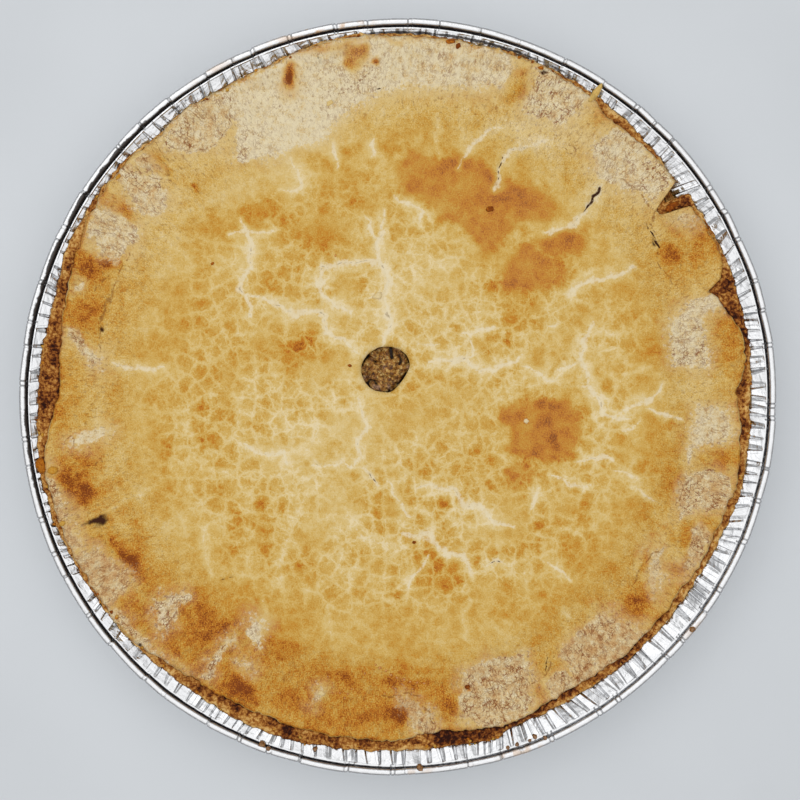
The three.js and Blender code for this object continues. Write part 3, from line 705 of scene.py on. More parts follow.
# Meshes from rings of points
def band(first, first_count, second, second_count):
    """Triangles between two rings of points that may differ in number."""
    faces = []
    i = j = 0
    while i < first_count or j < second_count:
        inner, outer = first + i % first_count, second + j % second_count
        if j == second_count or (i < first_count and (i + 1) * second_count <= (j + 1) * first_count):
            i += 1
            following, before = first + i % first_count, inner
        else:
            j += 1
            following, before = second + j % second_count, outer
        if following != before:
            faces.append((inner, outer, following))
    return faces


def stitch(counts, closed=False):
    """Triangles that join rings of points, each ring to the next, and the last to the first if closed."""
    starts = np.concatenate([[0], np.cumsum(counts)[:-1]]).tolist()
    order = list(range(len(counts))) + ([0] if closed else [])
    faces = []
    for here, there in zip(order, order[1:]):
        faces += band(starts[here], counts[here], starts[there], counts[there])
    return faces


def make_piece(name, points, faces, material, fields, smooth=True):
    """A mesh object from points in millimetres, which rides on the pie."""
    mesh = bpy.data.meshes.new(name)
    mesh.from_pydata((np.asarray(points) * MM).tolist(), [], faces)
    for field, values in fields.items():
        attribute = mesh.attributes.new(field, "FLOAT", "POINT")
        attribute.data.foreach_set("value", np.asarray(values, np.float32))
    mesh.polygons.foreach_set("use_smooth", np.broadcast_to(smooth, len(mesh.polygons)))
    mesh.materials.append(material)
    mesh.validate()
    piece = bpy.data.objects.new(name, mesh)
    bpy.context.scene.collection.objects.link(piece)
    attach(piece, "root")
    return piece


def ring_piece(name, rings, material, fields, hidden, closed=False, smooth=True):
    """A piece from rings of points. Those past the end of a field get its hidden value, or 0."""
    points = np.concatenate(rings)
    padded = {}
    for field, values in fields.items():
        padded[field] = np.append(values, np.full(len(points) - len(values), hidden.get(field, 0)))
    faces = stitch([len(ring) for ring in rings], closed)
    return make_piece(name, points, faces, material, padded, smooth)


# Materials
def srgb(red, green, blue):
    """A colour as read on a screen, from 0 to 255, in linear light."""
    share = np.array([red, green, blue]) / 255
    linear = np.where(share <= 0.04045, share / 12.92, ((share + 0.055) / 1.055) ** 2.4)
    return (*linear.tolist(), 1.0)


def fill_ramp(ramp, stops):
    """Give a colour ramp its stops: (position, colour)."""
    elements = ramp.elements
    while len(elements) < len(stops):
        elements.new(1.0)
    for element, (position, colour) in zip(elements, stops):
        element.position = position
        element.color = colour


class Graph:
    """The nodes of one material. Inputs may be numbers, colours or other nodes' outputs."""

    def __init__(self, name, dimensions="3D"):
        self.dimensions = dimensions
        self.material = bpy.data.materials.new(name)
        self.material.use_nodes = True
        self.tree = self.material.node_tree
        self.shader = self.tree.nodes["Principled BSDF"]
        metres = self.node("ShaderNodeTexCoord").outputs["Object"]
        self.place = self.vector("SCALE", {0: metres, "Scale": 1 / MM})

    def node(self, kind, inputs=None, **settings):
        made = self.tree.nodes.new(kind)
        for key, value in settings.items():
            setattr(made, key, value)
        for key, value in (inputs or {}).items():
            self.set(made.inputs[key], value)
        return made

    def set(self, socket, value):
        if isinstance(value, bpy.types.NodeSocket):
            self.tree.links.new(value, socket)
        else:
            socket.default_value = value

    def finish(self, **inputs):
        for key, value in inputs.items():
            self.set(self.shader.inputs[key.replace("_", " ")], value)
        return self.material

    def math(self, operation, *values):
        return self.node("ShaderNodeMath", dict(enumerate(values)), operation=operation).outputs[0]

    def vector(self, operation, inputs, output=0):
        return self.node("ShaderNodeVectorMath", inputs, operation=operation).outputs[output]

    def add(self, first, *others):
        for other in others:
            first = self.math("ADD", first, other)
        return first

    def times(self, first, *others):
        for other in others:
            first = self.math("MULTIPLY", first, other)
        return first

    def field(self, name):
        return self.node("ShaderNodeAttribute", attribute_name=name).outputs["Fac"]

    def from_middle(self):
        """Distance from the middle of the plate's underside, in millimetres."""
        return self.vector("LENGTH", {0: self.place}, "Value")

    def noise(self, size, detail=2, place=None, roughness=0.5):
        """Noise from about 0.2 to 0.8, with lumps about as large as size."""
        inputs = {"Vector": place or self.place, "Scale": 1 / size, "Detail": detail, "Roughness": roughness}
        return self.node("ShaderNodeTexNoise", inputs, noise_dimensions=self.dimensions).outputs[0]

    def centred(self, size, detail=2, roughness=0.5):
        """Noise about as far below 0 as above it."""
        return self.add(self.noise(size, detail, roughness=roughness), -0.5)

    def cells(self, size, place=None, detail=0, roughness=0.5):
        """Distance to the nearest wall of a net of cells, in millimetres. Detail adds smaller cells."""
        inputs = {"Vector": place or self.place, "Scale": 1 / size, "Detail": detail, "Roughness": roughness}
        settings = {"feature": "DISTANCE_TO_EDGE", "voronoi_dimensions": self.dimensions}
        made = self.node("ShaderNodeTexVoronoi", inputs, **settings)
        return self.times(made.outputs["Distance"], size)

    def cell_cores(self, size, place):
        """For the same net: distance from the cell's core, in cells, and a random number for each cell."""
        inputs = {"Vector": place, "Scale": 1 / size}
        made = self.node("ShaderNodeTexVoronoi", inputs, voronoi_dimensions=self.dimensions)
        split = self.node("ShaderNodeSeparateColor", {"Color": made.outputs["Color"]})
        return made.outputs["Distance"], split.outputs[0]

    def curls(self, size, width, detail=1, place=None):
        """Thin curly lines: 1 on the line and 0 beside it."""
        offset = self.math("ABSOLUTE", self.add(self.noise(size, detail, place), -0.5))
        return self.remap(offset, 0.0, width, 1.0, 0.0)

    def drawn_out(self, radius, share):
        """The place, with distances from a ring shortened, which draws a texture out across the ring."""
        from_middle = self.from_middle()
        shorter = self.add(self.times(self.add(from_middle, -radius), share), radius)
        return self.vector("SCALE", {0: self.place, "Scale": self.math("DIVIDE", shorter, from_middle)})

    def warped(self, size, amount):
        """The place, shifted by noise."""
        inputs = {"Vector": self.place, "Scale": 1 / size, "Detail": 2}
        noise = self.node("ShaderNodeTexNoise", inputs, noise_dimensions=self.dimensions)
        centred = self.vector("SUBTRACT", {0: noise.outputs["Color"], 1: (0.5, 0.5, 0.5)})
        return self.vector("MULTIPLY_ADD", {0: centred, 1: (2 * amount,) * 3, 2: self.place})

    def remap(self, value, low, high, to_low=0.0, to_high=1.0):
        inputs = {"Value": value, 1: low, 2: high, 3: to_low, 4: to_high}
        return self.node("ShaderNodeMapRange", inputs, interpolation_type="SMOOTHSTEP").outputs[0]

    def mix(self, share, first, second):
        inputs = {0: share, 6: first, 7: second}
        return self.node("ShaderNodeMix", inputs, data_type="RGBA", blend_type="MIX").outputs[2]

    def ramp(self, value, stops):
        made = self.node("ShaderNodeValToRGB", {"Fac": value})
        fill_ramp(made.color_ramp, stops)
        return made.outputs["Color"]

    def relief(self, height):
        """A normal from a height in millimetres."""
        inputs = {"Height": height, "Distance": MM, "Strength": 1.0}
        return self.node("ShaderNodeBump", inputs).outputs["Normal"]


PASTRY_STOPS = (
    (0.00, srgb(228, 209, 166)),
    (0.15, srgb(222, 199, 146)),
    (0.28, srgb(217, 190, 128)),
    (0.38, srgb(213, 182, 112)),
    (0.46, srgb(209, 174, 98)),
    (0.54, srgb(204, 164, 84)),
    (0.62, srgb(199, 154, 69)),
    (0.71, srgb(195, 141, 50)),
    (0.80, srgb(191, 123, 34)),
    (0.90, srgb(176, 100, 22)),
    (1.00, srgb(122, 58, 10)),
)
FLOUR_STOPS = (
    (0.28, srgb(192, 148, 98)),
    (0.40, srgb(208, 176, 126)),
    (0.52, srgb(217, 197, 152)),
    (0.68, srgb(226, 213, 180)),
)
CRUST_STOPS = (
    (0.06, srgb(216, 176, 110)),
    (0.28, srgb(186, 134, 66)),
    (0.48, srgb(150, 92, 36)),
    (0.68, srgb(100, 48, 15)),
    (0.90, srgb(42, 14, 6)),
)
MEAT_STOPS = (
    (0.32, srgb(56, 28, 8)),
    (0.43, srgb(132, 82, 28)),
    (0.54, srgb(178, 128, 52)),
    (0.66, srgb(216, 190, 124)),
)
CRACK_COLOUR = srgb(228, 214, 182)
SPLIT_COLOUR = srgb(150, 128, 98)
DUST_COLOUR = srgb(214, 190, 140)
WRINKLE_COLOUR = srgb(128, 68, 24)
SPECK_COLOUR = srgb(118, 66, 22)
CREASE_BROWN_AND_SHADE_COLOUR = srgb(128, 76, 28)
CHAR_COLOUR = srgb(58, 28, 12)
PINK_COLOUR = srgb(196, 160, 134)
THREAD_COLOUR = srgb(52, 28, 12)
MEAT_SHADE_COLOUR = srgb(30, 17, 10)
FOIL_COLOUR = (0.58, 0.585, 0.595, 1.0)
STAIN_COLOUR = srgb(186, 138, 70)
# painted shade and dark reflections in the rim's groove and under the crust's overhang, partly baked-on
# grease
SHADE_AND_GREASE_COLOUR = srgb(36, 28, 24)
DRY_SHEEN = 0.12  # specular level of dry pastry


def crackle_nodes(graph, fuzz):
    """Browning by the crackle: fine pale cracks round cells of uneven browning, and broad pale veins."""
    bent = graph.warped(4.0, 1.3)
    nested = graph.add(graph.cells(5.2, bent, 2, 0.7), graph.times(fuzz, 0.45))
    web = graph.remap(nested, 0.05, 0.55, 1.0, 0.0)
    vein = graph.remap(graph.add(graph.cells(9.5, bent), graph.times(fuzz, 2.4)), 0.1, 1.8, 1.0, 0.0)
    core, tone = graph.cell_cores(5.2, bent)
    spot = graph.times(graph.remap(core, 0.2, 0.75, 1.0, 0.0), graph.remap(tone, 0.2, 0.9, -0.3, 1.0))
    fine = graph.add(graph.times(web, -0.22), graph.times(spot, 0.11))
    broad = graph.times(vein, graph.field("vein"), -0.16)
    return graph.add(graph.times(fine, graph.field("crackle")), broad)


def browning_nodes(graph, drawn, grain, fuzz, mottle):
    """How browned the lid is: a place on its ramp of colours."""
    border = graph.field("border")
    leather = graph.remap(graph.noise(1.5, 4, drawn, 0.7), 0.36, 0.64, -0.05, 0.05)
    blotch = graph.remap(graph.noise(3.8, 3, roughness=0.6), 0.38, 0.62, -0.05, 0.05)
    uneven = graph.add(graph.times(mottle, 0.16), blotch, graph.times(fuzz, 0.2))
    return graph.add(
        graph.field("bake"),
        crackle_nodes(graph, fuzz),
        graph.remap(graph.field("crack"), 0.8, 6.5, -0.2, 0.0),
        graph.times(uneven, graph.field("calm")),
        graph.times(leather, border),
        graph.times(grain, graph.remap(border, 0.0, 1.0, 0.5, 0.9)),
    )


def crack_nodes(graph, colour, fuzz, mottle):
    """The colour with pale cracks in it, which are split open here and there."""
    crack = graph.field("crack")
    open_crack = graph.remap(graph.add(crack, graph.times(fuzz, 3.0)), 0.2, 1.7, 1.0, 0.0)
    colour = graph.mix(graph.times(open_crack, 0.8), colour, CRACK_COLOUR)
    split = graph.times(graph.remap(crack, 0.1, 0.3, 1.0, 0.0), graph.remap(mottle, 0.02, 0.1))
    return graph.mix(graph.times(split, 0.6), colour, SPLIT_COLOUR)


def flour_nodes(graph, colour, grain, fuzz):
    """The colour with dust and flour on it, and how floury it is."""
    dust = graph.times(graph.field("dust"), graph.remap(fuzz, -0.2, 0.2, 0.6, 1.0))
    colour = graph.mix(graph.times(dust, 0.6), colour, DUST_COLOUR)
    cloud = graph.noise(3, 5, roughness=0.7)
    rub = graph.add(cloud, graph.times(grain, 0.6), graph.times(graph.field("tone"), 0.3), -0.16)
    floury = graph.remap(graph.add(graph.field("flour"), graph.times(fuzz, 7.0)), -0.5, 1.0)
    floury = graph.times(floury, graph.field("covered"))
    return graph.mix(graph.times(floury, 0.88), colour, graph.ramp(rub, FLOUR_STOPS)), floury


def wrinkle_nodes(graph, colour, floury, drawn):
    """The colour with dark wrinkles and specks in it, and where the wrinkles are."""
    border = graph.field("border")
    short = graph.times(graph.curls(1.1, 0.07, 1), 0.75)
    hair = graph.math("MAXIMUM", graph.curls(1.8, 0.055, 2, drawn), short)
    gate = graph.remap(graph.noise(3.5, 3), 0.40, 0.56, 0.35, 1.0)
    hair = graph.times(hair, gate, graph.field("crinkle"))
    hair = graph.times(hair, graph.math("MAXIMUM", floury, graph.times(border, 0.35)))
    colour = graph.mix(graph.times(hair, 0.95), colour, WRINKLE_COLOUR)
    speck = graph.remap(graph.noise(0.9, 3, drawn, 0.65), 0.58, 0.68, 0.0, 0.4)
    return graph.mix(graph.times(speck, border), colour, SPECK_COLOUR), hair


def mark_nodes(graph, colour, fuzz):
    """The colour with creases, darkened partly by browning and partly by painted shade, slits and scorched
    holes in it, and where the creases are.
    """
    crease = graph.remap(graph.add(graph.field("crease"), graph.times(fuzz, 1.8)), 0.25, 0.95, 1.0, 0.0)
    # dark brown in the creases: partly browning, partly painted shade
    colour = graph.mix(graph.times(crease, 0.65), colour, CREASE_BROWN_AND_SHADE_COLOUR)
    slit = graph.remap(graph.add(graph.field("slit"), graph.times(fuzz, 0.8)), 0.6, 1.3, 1.0, 0.0)
    hole = graph.remap(graph.add(graph.field("hole"), graph.times(fuzz, 0.7)), 0.15, 0.9)
    return graph.mix(graph.math("MAXIMUM", slit, hole), colour, CHAR_COLOUR), crease


def pastry_material():
    """The lid: golden, with pale cracks and crackle, brown patches and floury presses."""
    graph = Graph("golden_pastry", "2D")
    drawn = graph.drawn_out(PRESS_RADIUS, 0.45)
    grain = graph.centred(0.45, 2, 0.75)
    fuzz = graph.centred(1.3, 4, 0.65)
    mottle = graph.centred(4.5, 4, 0.6)
    level = browning_nodes(graph, drawn, grain, fuzz, mottle)
    colour = crack_nodes(graph, graph.ramp(level, PASTRY_STOPS), fuzz, mottle)
    colour, floury = flour_nodes(graph, colour, grain, fuzz)
    colour, hair = wrinkle_nodes(graph, colour, floury, drawn)
    colour, crease = mark_nodes(graph, colour, fuzz)
    height = graph.add(
        graph.times(grain, 0.16),
        graph.times(mottle, 0.20),
        graph.times(hair, -0.05),
        graph.times(fuzz, floury, 0.18),
        graph.times(crease, -0.05),
    )
    return graph.finish(
        Base_Color=colour,
        Roughness=graph.remap(level, 0.5, 0.9, 0.72, 0.5),
        Specular_IOR_Level=DRY_SHEEN,
        Normal=graph.relief(height),
    )


def crust_material():
    """The bottom crust's rim: brown, dry and porous, nearly black where it has burnt, and darker still under
    the lid's edge with painted shade.
    """
    graph = Graph("browned_pastry")
    mottle = graph.centred(2.4, 4, 0.6)
    crumb = graph.remap(graph.noise(1.1, 3, roughness=0.7), 0.34, 0.66, -0.22, 0.22)
    pore = graph.times(graph.field("pore"), 0.18)
    level = graph.add(graph.field("bake"), graph.times(mottle, 0.7), pore, crumb)
    height = graph.add(graph.times(graph.noise(0.8, 3), 0.35), graph.times(mottle, 0.3))
    return graph.finish(
        Base_Color=graph.ramp(level, CRUST_STOPS),
        Roughness=0.78,
        Specular_IOR_Level=DRY_SHEEN,
        Normal=graph.relief(height),
    )


def meat_material():
    """Cooked ground meat: tan and brown crumbs, with painted shade in the gaps between them and under the
    vent's wall.
    """
    graph = Graph("ground_meat")
    colour = graph.ramp(graph.noise(1.1, 4, graph.warped(0.9, 0.5), 0.65), MEAT_STOPS)
    colour = graph.mix(graph.times(graph.field("pink"), 0.6), colour, PINK_COLOUR)
    thread = graph.remap(graph.cells(0.75, graph.warped(0.5, 0.5)), 0.0, 0.16, 1.0, 0.0)
    gate = graph.remap(graph.noise(1.3, 2), 0.42, 0.58)
    colour = graph.mix(graph.times(thread, gate, 0.85), colour, THREAD_COLOUR)
    # painted shade in the meat's gaps and under the vent's wall
    colour = graph.mix(graph.field("gap_shade"), colour, MEAT_SHADE_COLOUR)
    height = graph.times(graph.noise(0.45, 3), 0.3)
    return graph.finish(
        Base_Color=colour, Roughness=0.5, Specular_IOR_Level=0.4, Normal=graph.relief(height)
    )


def foil_material():
    """Bright aluminium foil, with fine wrinkles, and painted shade and dark reflections in the groove of its
    rim, partly grease baked on there.
    """
    graph = Graph("foil")
    stain = graph.field("stain")
    ragged = graph.times(graph.centred(1.3, 3), 0.9)
    # painted shade and dark reflection in the groove, partly grease; it also dulls the metal
    groove_shade_and_grease = graph.times(graph.remap(graph.add(graph.field("grease"), ragged), 0.3, 0.65), 0.95)
    colour = graph.mix(stain, FOIL_COLOUR, STAIN_COLOUR)
    colour = graph.mix(groove_shade_and_grease, colour, SHADE_AND_GREASE_COLOUR)
    wrinkle = graph.add(graph.times(graph.noise(0.8, 3), 0.09), graph.times(graph.noise(3, 2), 0.16))
    stain_and_shade = graph.math("MAXIMUM", groove_shade_and_grease, stain)
    return graph.finish(
        Base_Color=colour,
        Metallic=graph.math("SUBTRACT", 1.0, graph.times(stain_and_shade, 0.8)),
        Roughness=graph.remap(graph.noise(3, 2), 0.3, 0.7, 0.12, 0.24),
        Normal=graph.relief(wrinkle),
    )


# The lid
# Shifts of places by noise: (amount in pixels, size of the lumps, seeds across and down, layers)
BROAD_STRAY = (7, 6, (21, 23), 1)
LUMPY_STRAY = (4, 2.5, (22, 24), 1)
FINE_STRAY = (1.6, 2.2, (25, 26), 1)
CRACK_STRAY = (2.2, 2.6, (60, 61), 1)
RING_STRAY = (2.2, 2.5, (48, 49), 1)
RAGGED_STRAY = (4, 6, (42, 52), 3)
PLAIN_BAKE = 0.53
BAKE_NOISE = ((0.05, 16, 27), (0.07, 7, 28), (0.05, 3, 29))
PLATEAU_EDGE = 7.0  # how far the edge of a brown plateau fades to either side, in pixels
PATCH_GAIN = 1.25
PATCH_LIMIT = 0.34  # the most that brown patches add up to
PATCH_FIRMNESS = 3.5
BORDER_LIMIT = 0.9
BORDER_FIRMNESS = 3
EDGE_ROUNDING = 1.4  # how far in from its torn edge the lid is rounded off
EDGE_THICKNESS = 0.4  # share of the lid's thickness that is left at its edge
LIP_DROP = 0.8  # how far the lid sinks at the vent
LIP_WIDTH = 1.4  # and over what width
UNDER_INSET = 0.7  # how far the underside stops short of the torn edge
UNDER_RADIUS = 101  # of a ring of the underside
UNDER_COUNTS = (240, 120)  # points of that ring and of the next one inside it
FOOT_HEIGHT = 1.6  # height of a ring on the vent's wall, above the filling
HIDDEN_FIELDS = {"bake": 0.35, "crack": FAR, "slit": FAR, "crease": FAR, "flour": -FAR}


def vent_radius(angle):
    x, y = on_circle(VENT_CUT, angle)
    return VENT_CUT + swells(angle, VENT_SWELLS) + 0.12 * noise(x, y, 1.1, 12)


def lid_edge(angle):
    x, y = on_circle(LID_NOMINAL_RADIUS, angle)
    return outline(angle, LID_EDGE_PIXELS) + 0.45 * rough(x, y, 3.5, 11) + 0.35 * noise(x, y, 1.3, 15)


class LidPlaces:
    """Places on the lid: in pixels as the photograph shows them, and round the plate, shifted by noise."""

    def __init__(self, x, y, inset):
        self.x = x
        self.y = y
        self.inset = inset
        self.radius, self.angle = polar(x, y)
        self.plain = to_pixels(x, y, LID_PLANE)
        self.wide = self.strayed(self.strayed(self.plain, BROAD_STRAY), LUMPY_STRAY)
        self.fine = self.strayed(self.plain, FINE_STRAY)
        self.bent = self.strayed(self.fine, CRACK_STRAY)
        ring_radius = self.radius / pixel_size(EDGE_PLANE)
        self.ring = self.strayed(on_circle(ring_radius, self.angle), RING_STRAY)
        self.ragged = self.strayed(self.ring, RAGGED_STRAY)
        self.edge_radius = ring_radius + 5 * rough(x, y, 10, 42, 4)
        self.edge_angle = self.angle + rough(x, y, 10, 52, 4)

    def strayed(self, place, stray):
        amount, size, seeds, layers = stray
        across, down = (amount * rough(self.x, self.y, size, seed, layers) for seed in seeds)
        return place[0] + across, place[1] + down

    def noise(self, size, seed):
        return noise(self.x, self.y, size, seed)

    def rough(self, size, seed):
        return rough(self.x, self.y, size, seed)


def crack_lines(cracks):
    """Cracks with their half-widths in pixels: short ones are thin."""
    lines = []
    for points in cracks:
        length = np.hypot(*np.diff(np.array(points, float), axis=0).T).sum()
        lines.append((CRACK_WIDTH * np.clip(length / CRACK_LENGTH, 0.55, 1), points))
    return lines


def lid_lines(at):
    """Distances from the nearest crack, slit and crease, in half-widths of it."""
    wobble = 1 + 0.45 * at.noise(3, 30)
    broad = nearest_line(*at.bent, crack_lines(CRACKS), wobble)
    faint = nearest_line(*at.bent, crack_lines(FAINT_CRACKS), wobble)
    creases = [(width, ring_points(places)) for width, places in CREASES]
    return {
        "crack": np.minimum(broad, faint + FAINTNESS),
        "slit": nearest_line(*at.fine, SLITS, 1 + 0.4 * at.noise(1.5, 31)),
        "crease": nearest_line(*at.ring, creases, wobble),
    }


def lid_browning(at):
    """Browning of the lid's plateaus, of its patches and of its border."""
    place = [fine + 0.5 * (wide - plain) for fine, wide, plain in zip(at.fine, at.wide, at.plain)]
    depth, amount = shape_depth(*place, BROWN_SHAPES)
    amount = amount + 0.03 + 0.05 * at.noise(5, 39)
    plateau = amount * smoothstep(depth, -PLATEAU_EDGE, PLATEAU_EDGE)
    patchy = saturated(PATCH_GAIN * patches(*at.wide, BROWN_PATCHES, PATCH_FIRMNESS), PATCH_LIMIT)
    border = border_patches(at.edge_angle, at.edge_radius, BORDER_BROWN, BORDER_FIRMNESS)
    return plateau, patchy, saturated(border, BORDER_LIMIT)


def lid_crackle(at, browned):
    """Strength of the fine crackle and of the broad veins. Both are weak where the lid is browned."""
    middle = 1 - smoothstep(at.radius, 66, 94)
    strength = np.clip(patches(*at.plain, CRACKLE_PATCHES), 0, 1)
    fine_gate = smoothstep(at.noise(9, 33), -1.2, 0.2)
    broad_gate = smoothstep(at.noise(13, 34), -0.35, 0.35)
    return {
        "crackle": (0.3 + 0.4 * middle + 0.6 * strength * middle) * fine_gate * (1 - 0.65 * browned),
        "vein": (0.35 + 0.65 * strength) * broad_gate * middle * (1 - 0.9 * browned),
    }


def lid_flour(at, plateau, patchy, border):
    """Where the lid is floury, dusty and wrinkled. The flour is a depth inside its outlines, in pixels."""
    shapes = [(tone, ring_points(places)) for tone, places in FLOUR_SHAPES]
    depth, tone = shape_depth(*at.ragged, shapes, SOFT_REACH)
    sharpness = smoothstep(at.noise(7, 37) - swells(at.angle, SOFT_FLOUR), -0.25, 0.45)
    flour = depth * lerp(0.12, 1, sharpness) + 2 * (1 - sharpness) * smoothstep(depth, 0, 8)
    dust = (0.05 + swells(at.angle, FLOUR_BASE)) * smoothstep(at.edge_radius, 280, 315)
    dust += 0.85 * smoothstep(depth, lerp(-SOFT_REACH, -FAR, sharpness), 4)
    dust = np.clip(np.clip(dust, 0, 1) - 1.8 * (border + patchy), 0, 1) + 0.5 * plateau
    stained = smoothstep(border + 0.05 * at.noise(2.0, 50), 0.05, 0.3)
    wrinkled = 0.65 + 0.35 * smoothstep(at.noise(12, 36), -0.3, 0.3)
    return {
        "flour": np.clip(flour, -FAR, FAR),
        "dust": dust,
        "tone": tone + 0.1 - 1.6 * border,
        "crinkle": wrinkled * (1 - swells(at.angle, SMOOTH_FLOUR)),
        "covered": 1 - stained,
    }


def lid_bake(at, browning, flour):
    """How browned the lid is. It is darker beside flour, which is painted shade at the flour's edges,
    browner near its torn edge, and pale on the edge.
    """
    bake = PLAIN_BAKE + browning + patches(*at.wide, BROAD_TONES) + layered(at.x, at.y, BAKE_NOISE)
    # painted shade along the edges of the floury presses
    bake += 0.08 * bump(flour + 1.5, 1.5)
    torn = 1 - smoothstep(at.inset + 0.5 * at.noise(1.6, 46), 0.3, 2.0)
    pale = smoothstep(at.noise(7, 45), -0.5, 0.2) * (1 - smoothstep(at.inset, 0.25, 0.8))
    return bake + 0.2 * torn - 0.5 * pale


def lid_relief(at, browning, fields):
    """Fine relief of the lid in millimetres, without its blisters."""
    lumps = smoothstep(at.radius, 90, 102) * at.rough(5, 47)
    powder = smoothstep(fields["flour"], -1, 2) * at.rough(1.9, 41)
    relief = 0.3 * lumps + 0.22 * at.rough(9, 35) + 0.07 * at.rough(2.2, 38) + 0.25 * powder
    relief += np.clip(browning, 0, 0.35)
    relief -= 0.25 * bump(fields["crack"], 1.3) + 0.9 * bump(fields["slit"], 1.2)
    return relief - 0.12 * bump(fields["crease"], 1.0) - 0.9 * fields["hole"]


def lid_fields(x, y, inset):
    """What the lid's surface shows at a place, and its relief in millimetres."""
    at = LidPlaces(x, y, inset)
    plateau, patchy, border = lid_browning(at)
    browning = plateau + patchy
    browned = smoothstep(browning, 0.12, 0.3)
    fields = {
        **lid_lines(at),
        **lid_crackle(at, browned),
        **lid_flour(at, plateau, patchy, border),
        "hole": np.clip(border_patches(at.edge_angle, at.edge_radius, HOLES), 0, 1),
        "border": smoothstep(at.radius, 76, 98),
        "calm": 1 - 0.45 * browned,
    }
    fields["bake"] = lid_bake(at, browning + border, fields["flour"])
    relief = lid_relief(at, browning, fields)
    for across, down, half_width, height, browner, floury in BLISTERS:
        dome = bump(np.hypot(at.fine[0] - across, at.fine[1] - down), half_width)
        relief += height * dome
        fields["bake"] += browner * dome
        fields["flour"] = np.maximum(fields["flour"], FAR * (2 * floury * dome - 1))
    return fields, relief


def lid_height(x, y, angle, edge):
    """Top of the lid, without its fine relief, rounded off to its torn edge."""
    radius = np.hypot(x, y)
    share = lerp(EDGE_THICKNESS, 1, rounded((edge - radius) / EDGE_ROUNDING))
    return lid_underside(radius, angle) + lid_thickness(radius, angle) * share + lid_waves(x, y)


def lid_rings():
    """Rings of the lid's top before they bend to its outlines: numbers of points, their radii and angles."""
    nominal = np.arange(VENT_RADIUS, LID_NOMINAL_RADIUS + LID_STEP / 2, LID_STEP)
    nominal[-1] = LID_NOMINAL_RADIUS
    counts = np.round(2 * np.pi * nominal / LID_STEP).astype(int).tolist()
    return counts, np.repeat(nominal, counts), np.concatenate([ring_angles(count) for count in counts])


def lid_top(ring, angle, edge):
    """Points of the lid's top, and what it shows there."""
    out = np.clip((ring - LID_OUTLINE_START) / (LID_NOMINAL_RADIUS - LID_OUTLINE_START), 0, 1)
    at_vent = 1 - smoothstep(ring, VENT_RADIUS, 2 * VENT_RADIUS)
    radius = lerp(np.minimum(ring, LID_OUTLINE_START), edge, out)
    top = around(angle, radius + at_vent * (vent_radius(angle) - VENT_RADIUS), 0)
    off_centre = 1 - smoothstep(ring, VENT_RADIUS, FILLING_FLAT_RADIUS)
    top[:, :2] += off_centre[:, None] * np.array(VENT)
    x, y = top[:, 0], top[:, 1]
    from_middle, turn = polar(x, y)
    torn_edge = np.where(out > 0, edge, np.inf)
    inset = torn_edge - from_middle
    fields, relief = lid_fields(x, y, inset)
    lip = LIP_DROP * (1 - smoothstep(ring, VENT_RADIUS, VENT_RADIUS + LIP_WIDTH))
    top[:, 2] = lid_height(x, y, turn, torn_edge) + relief * np.clip(inset, 0, 1) - lip
    return top, fields


def lid_under(rim_angle, rim_edge, foot_angle):
    """Rings of the lid's underside, from its torn edge in to the vent and up the vent's wall."""
    rim_radius = rim_edge - UNDER_INSET
    outer, inner = (ring_angles(count) for count in UNDER_COUNTS)
    foot_radius = vent_radius(foot_angle)
    return [
        around(rim_angle, rim_radius, lid_underside(rim_radius, rim_angle)),
        around(outer, UNDER_RADIUS, lid_underside(UNDER_RADIUS, outer)),
        around(inner, FILLING_FLAT_RADIUS, FILLING_TOP + GAP),
        around(foot_angle, foot_radius, FILLING_TOP + GAP, VENT),
        around(foot_angle, foot_radius, FILLING_TOP + FOOT_HEIGHT, VENT),
    ]


def lid_piece(material):
    counts, ring, angle = lid_rings()
    edge = lid_edge(angle)
    top, fields = lid_top(ring, angle, edge)
    rim = slice(-counts[-1], None)
    rings = np.split(top, np.cumsum(counts)[:-1]) + lid_under(angle[rim], edge[rim], angle[:counts[0]])
    piece = ring_piece("pastry_lid", rings, material, fields, HIDDEN_FIELDS, closed=True)
    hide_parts("top_crust")


# The bottom crust
# Where its rim has burnt, or stayed pale: (angle, amount, half-width)
BURNT_STRETCHES = (
    (177, 0.34, 6), (166, 0.16, 8), (241, 0.22, 3), (251, 0.20, 4), (258, 0.15, 3), (266, 0.12, 5),
    (279, 0.50, 6), (287, 0.30, 6), (296, 0.26, 7), (312, 0.12, 6), (345, 0.24, 4), (15, 0.34, 6),
    (1, 0.28, 3), (35, 0.25, 3), (100, -0.15, 40), (56, 0.05, 4), (320, 0.06, 30), (28, 0.04, 6),
    (235, 0.14, 8), (250, 0.12, 10), (264, 0.10, 8), (283, 0.12, 4), (8, 0.16, 5), (20, 0.12, 4),
)
CRUST_ROWS = 26
CRUST_PLAIN_ROWS = 3  # rows without fine relief at either end
CRUST_BAND = 5.5  # how far the fine rows reach in under the lid's edge
CRUST_ROUNDING = 1.6  # how far in from its edge the rim is rounded off
CRUST_SWELL = 1.3  # how far the rim swells up beside the lid
CRUST_THINNEST = 0.9  # least thickness of the rim, above the wall
CRUST_BAKE = 0.40
CRUST_COARSE = 180  # columns of the hidden shell


def crust_edge(angle):
    x, y = on_circle(RIM_RADIUS, angle)
    return outline(angle, CRUST_EDGE_PIXELS) + 0.5 + 0.35 * rough(x, y, 3, 51) + 0.25 * noise(x, y, 1.0, 55)


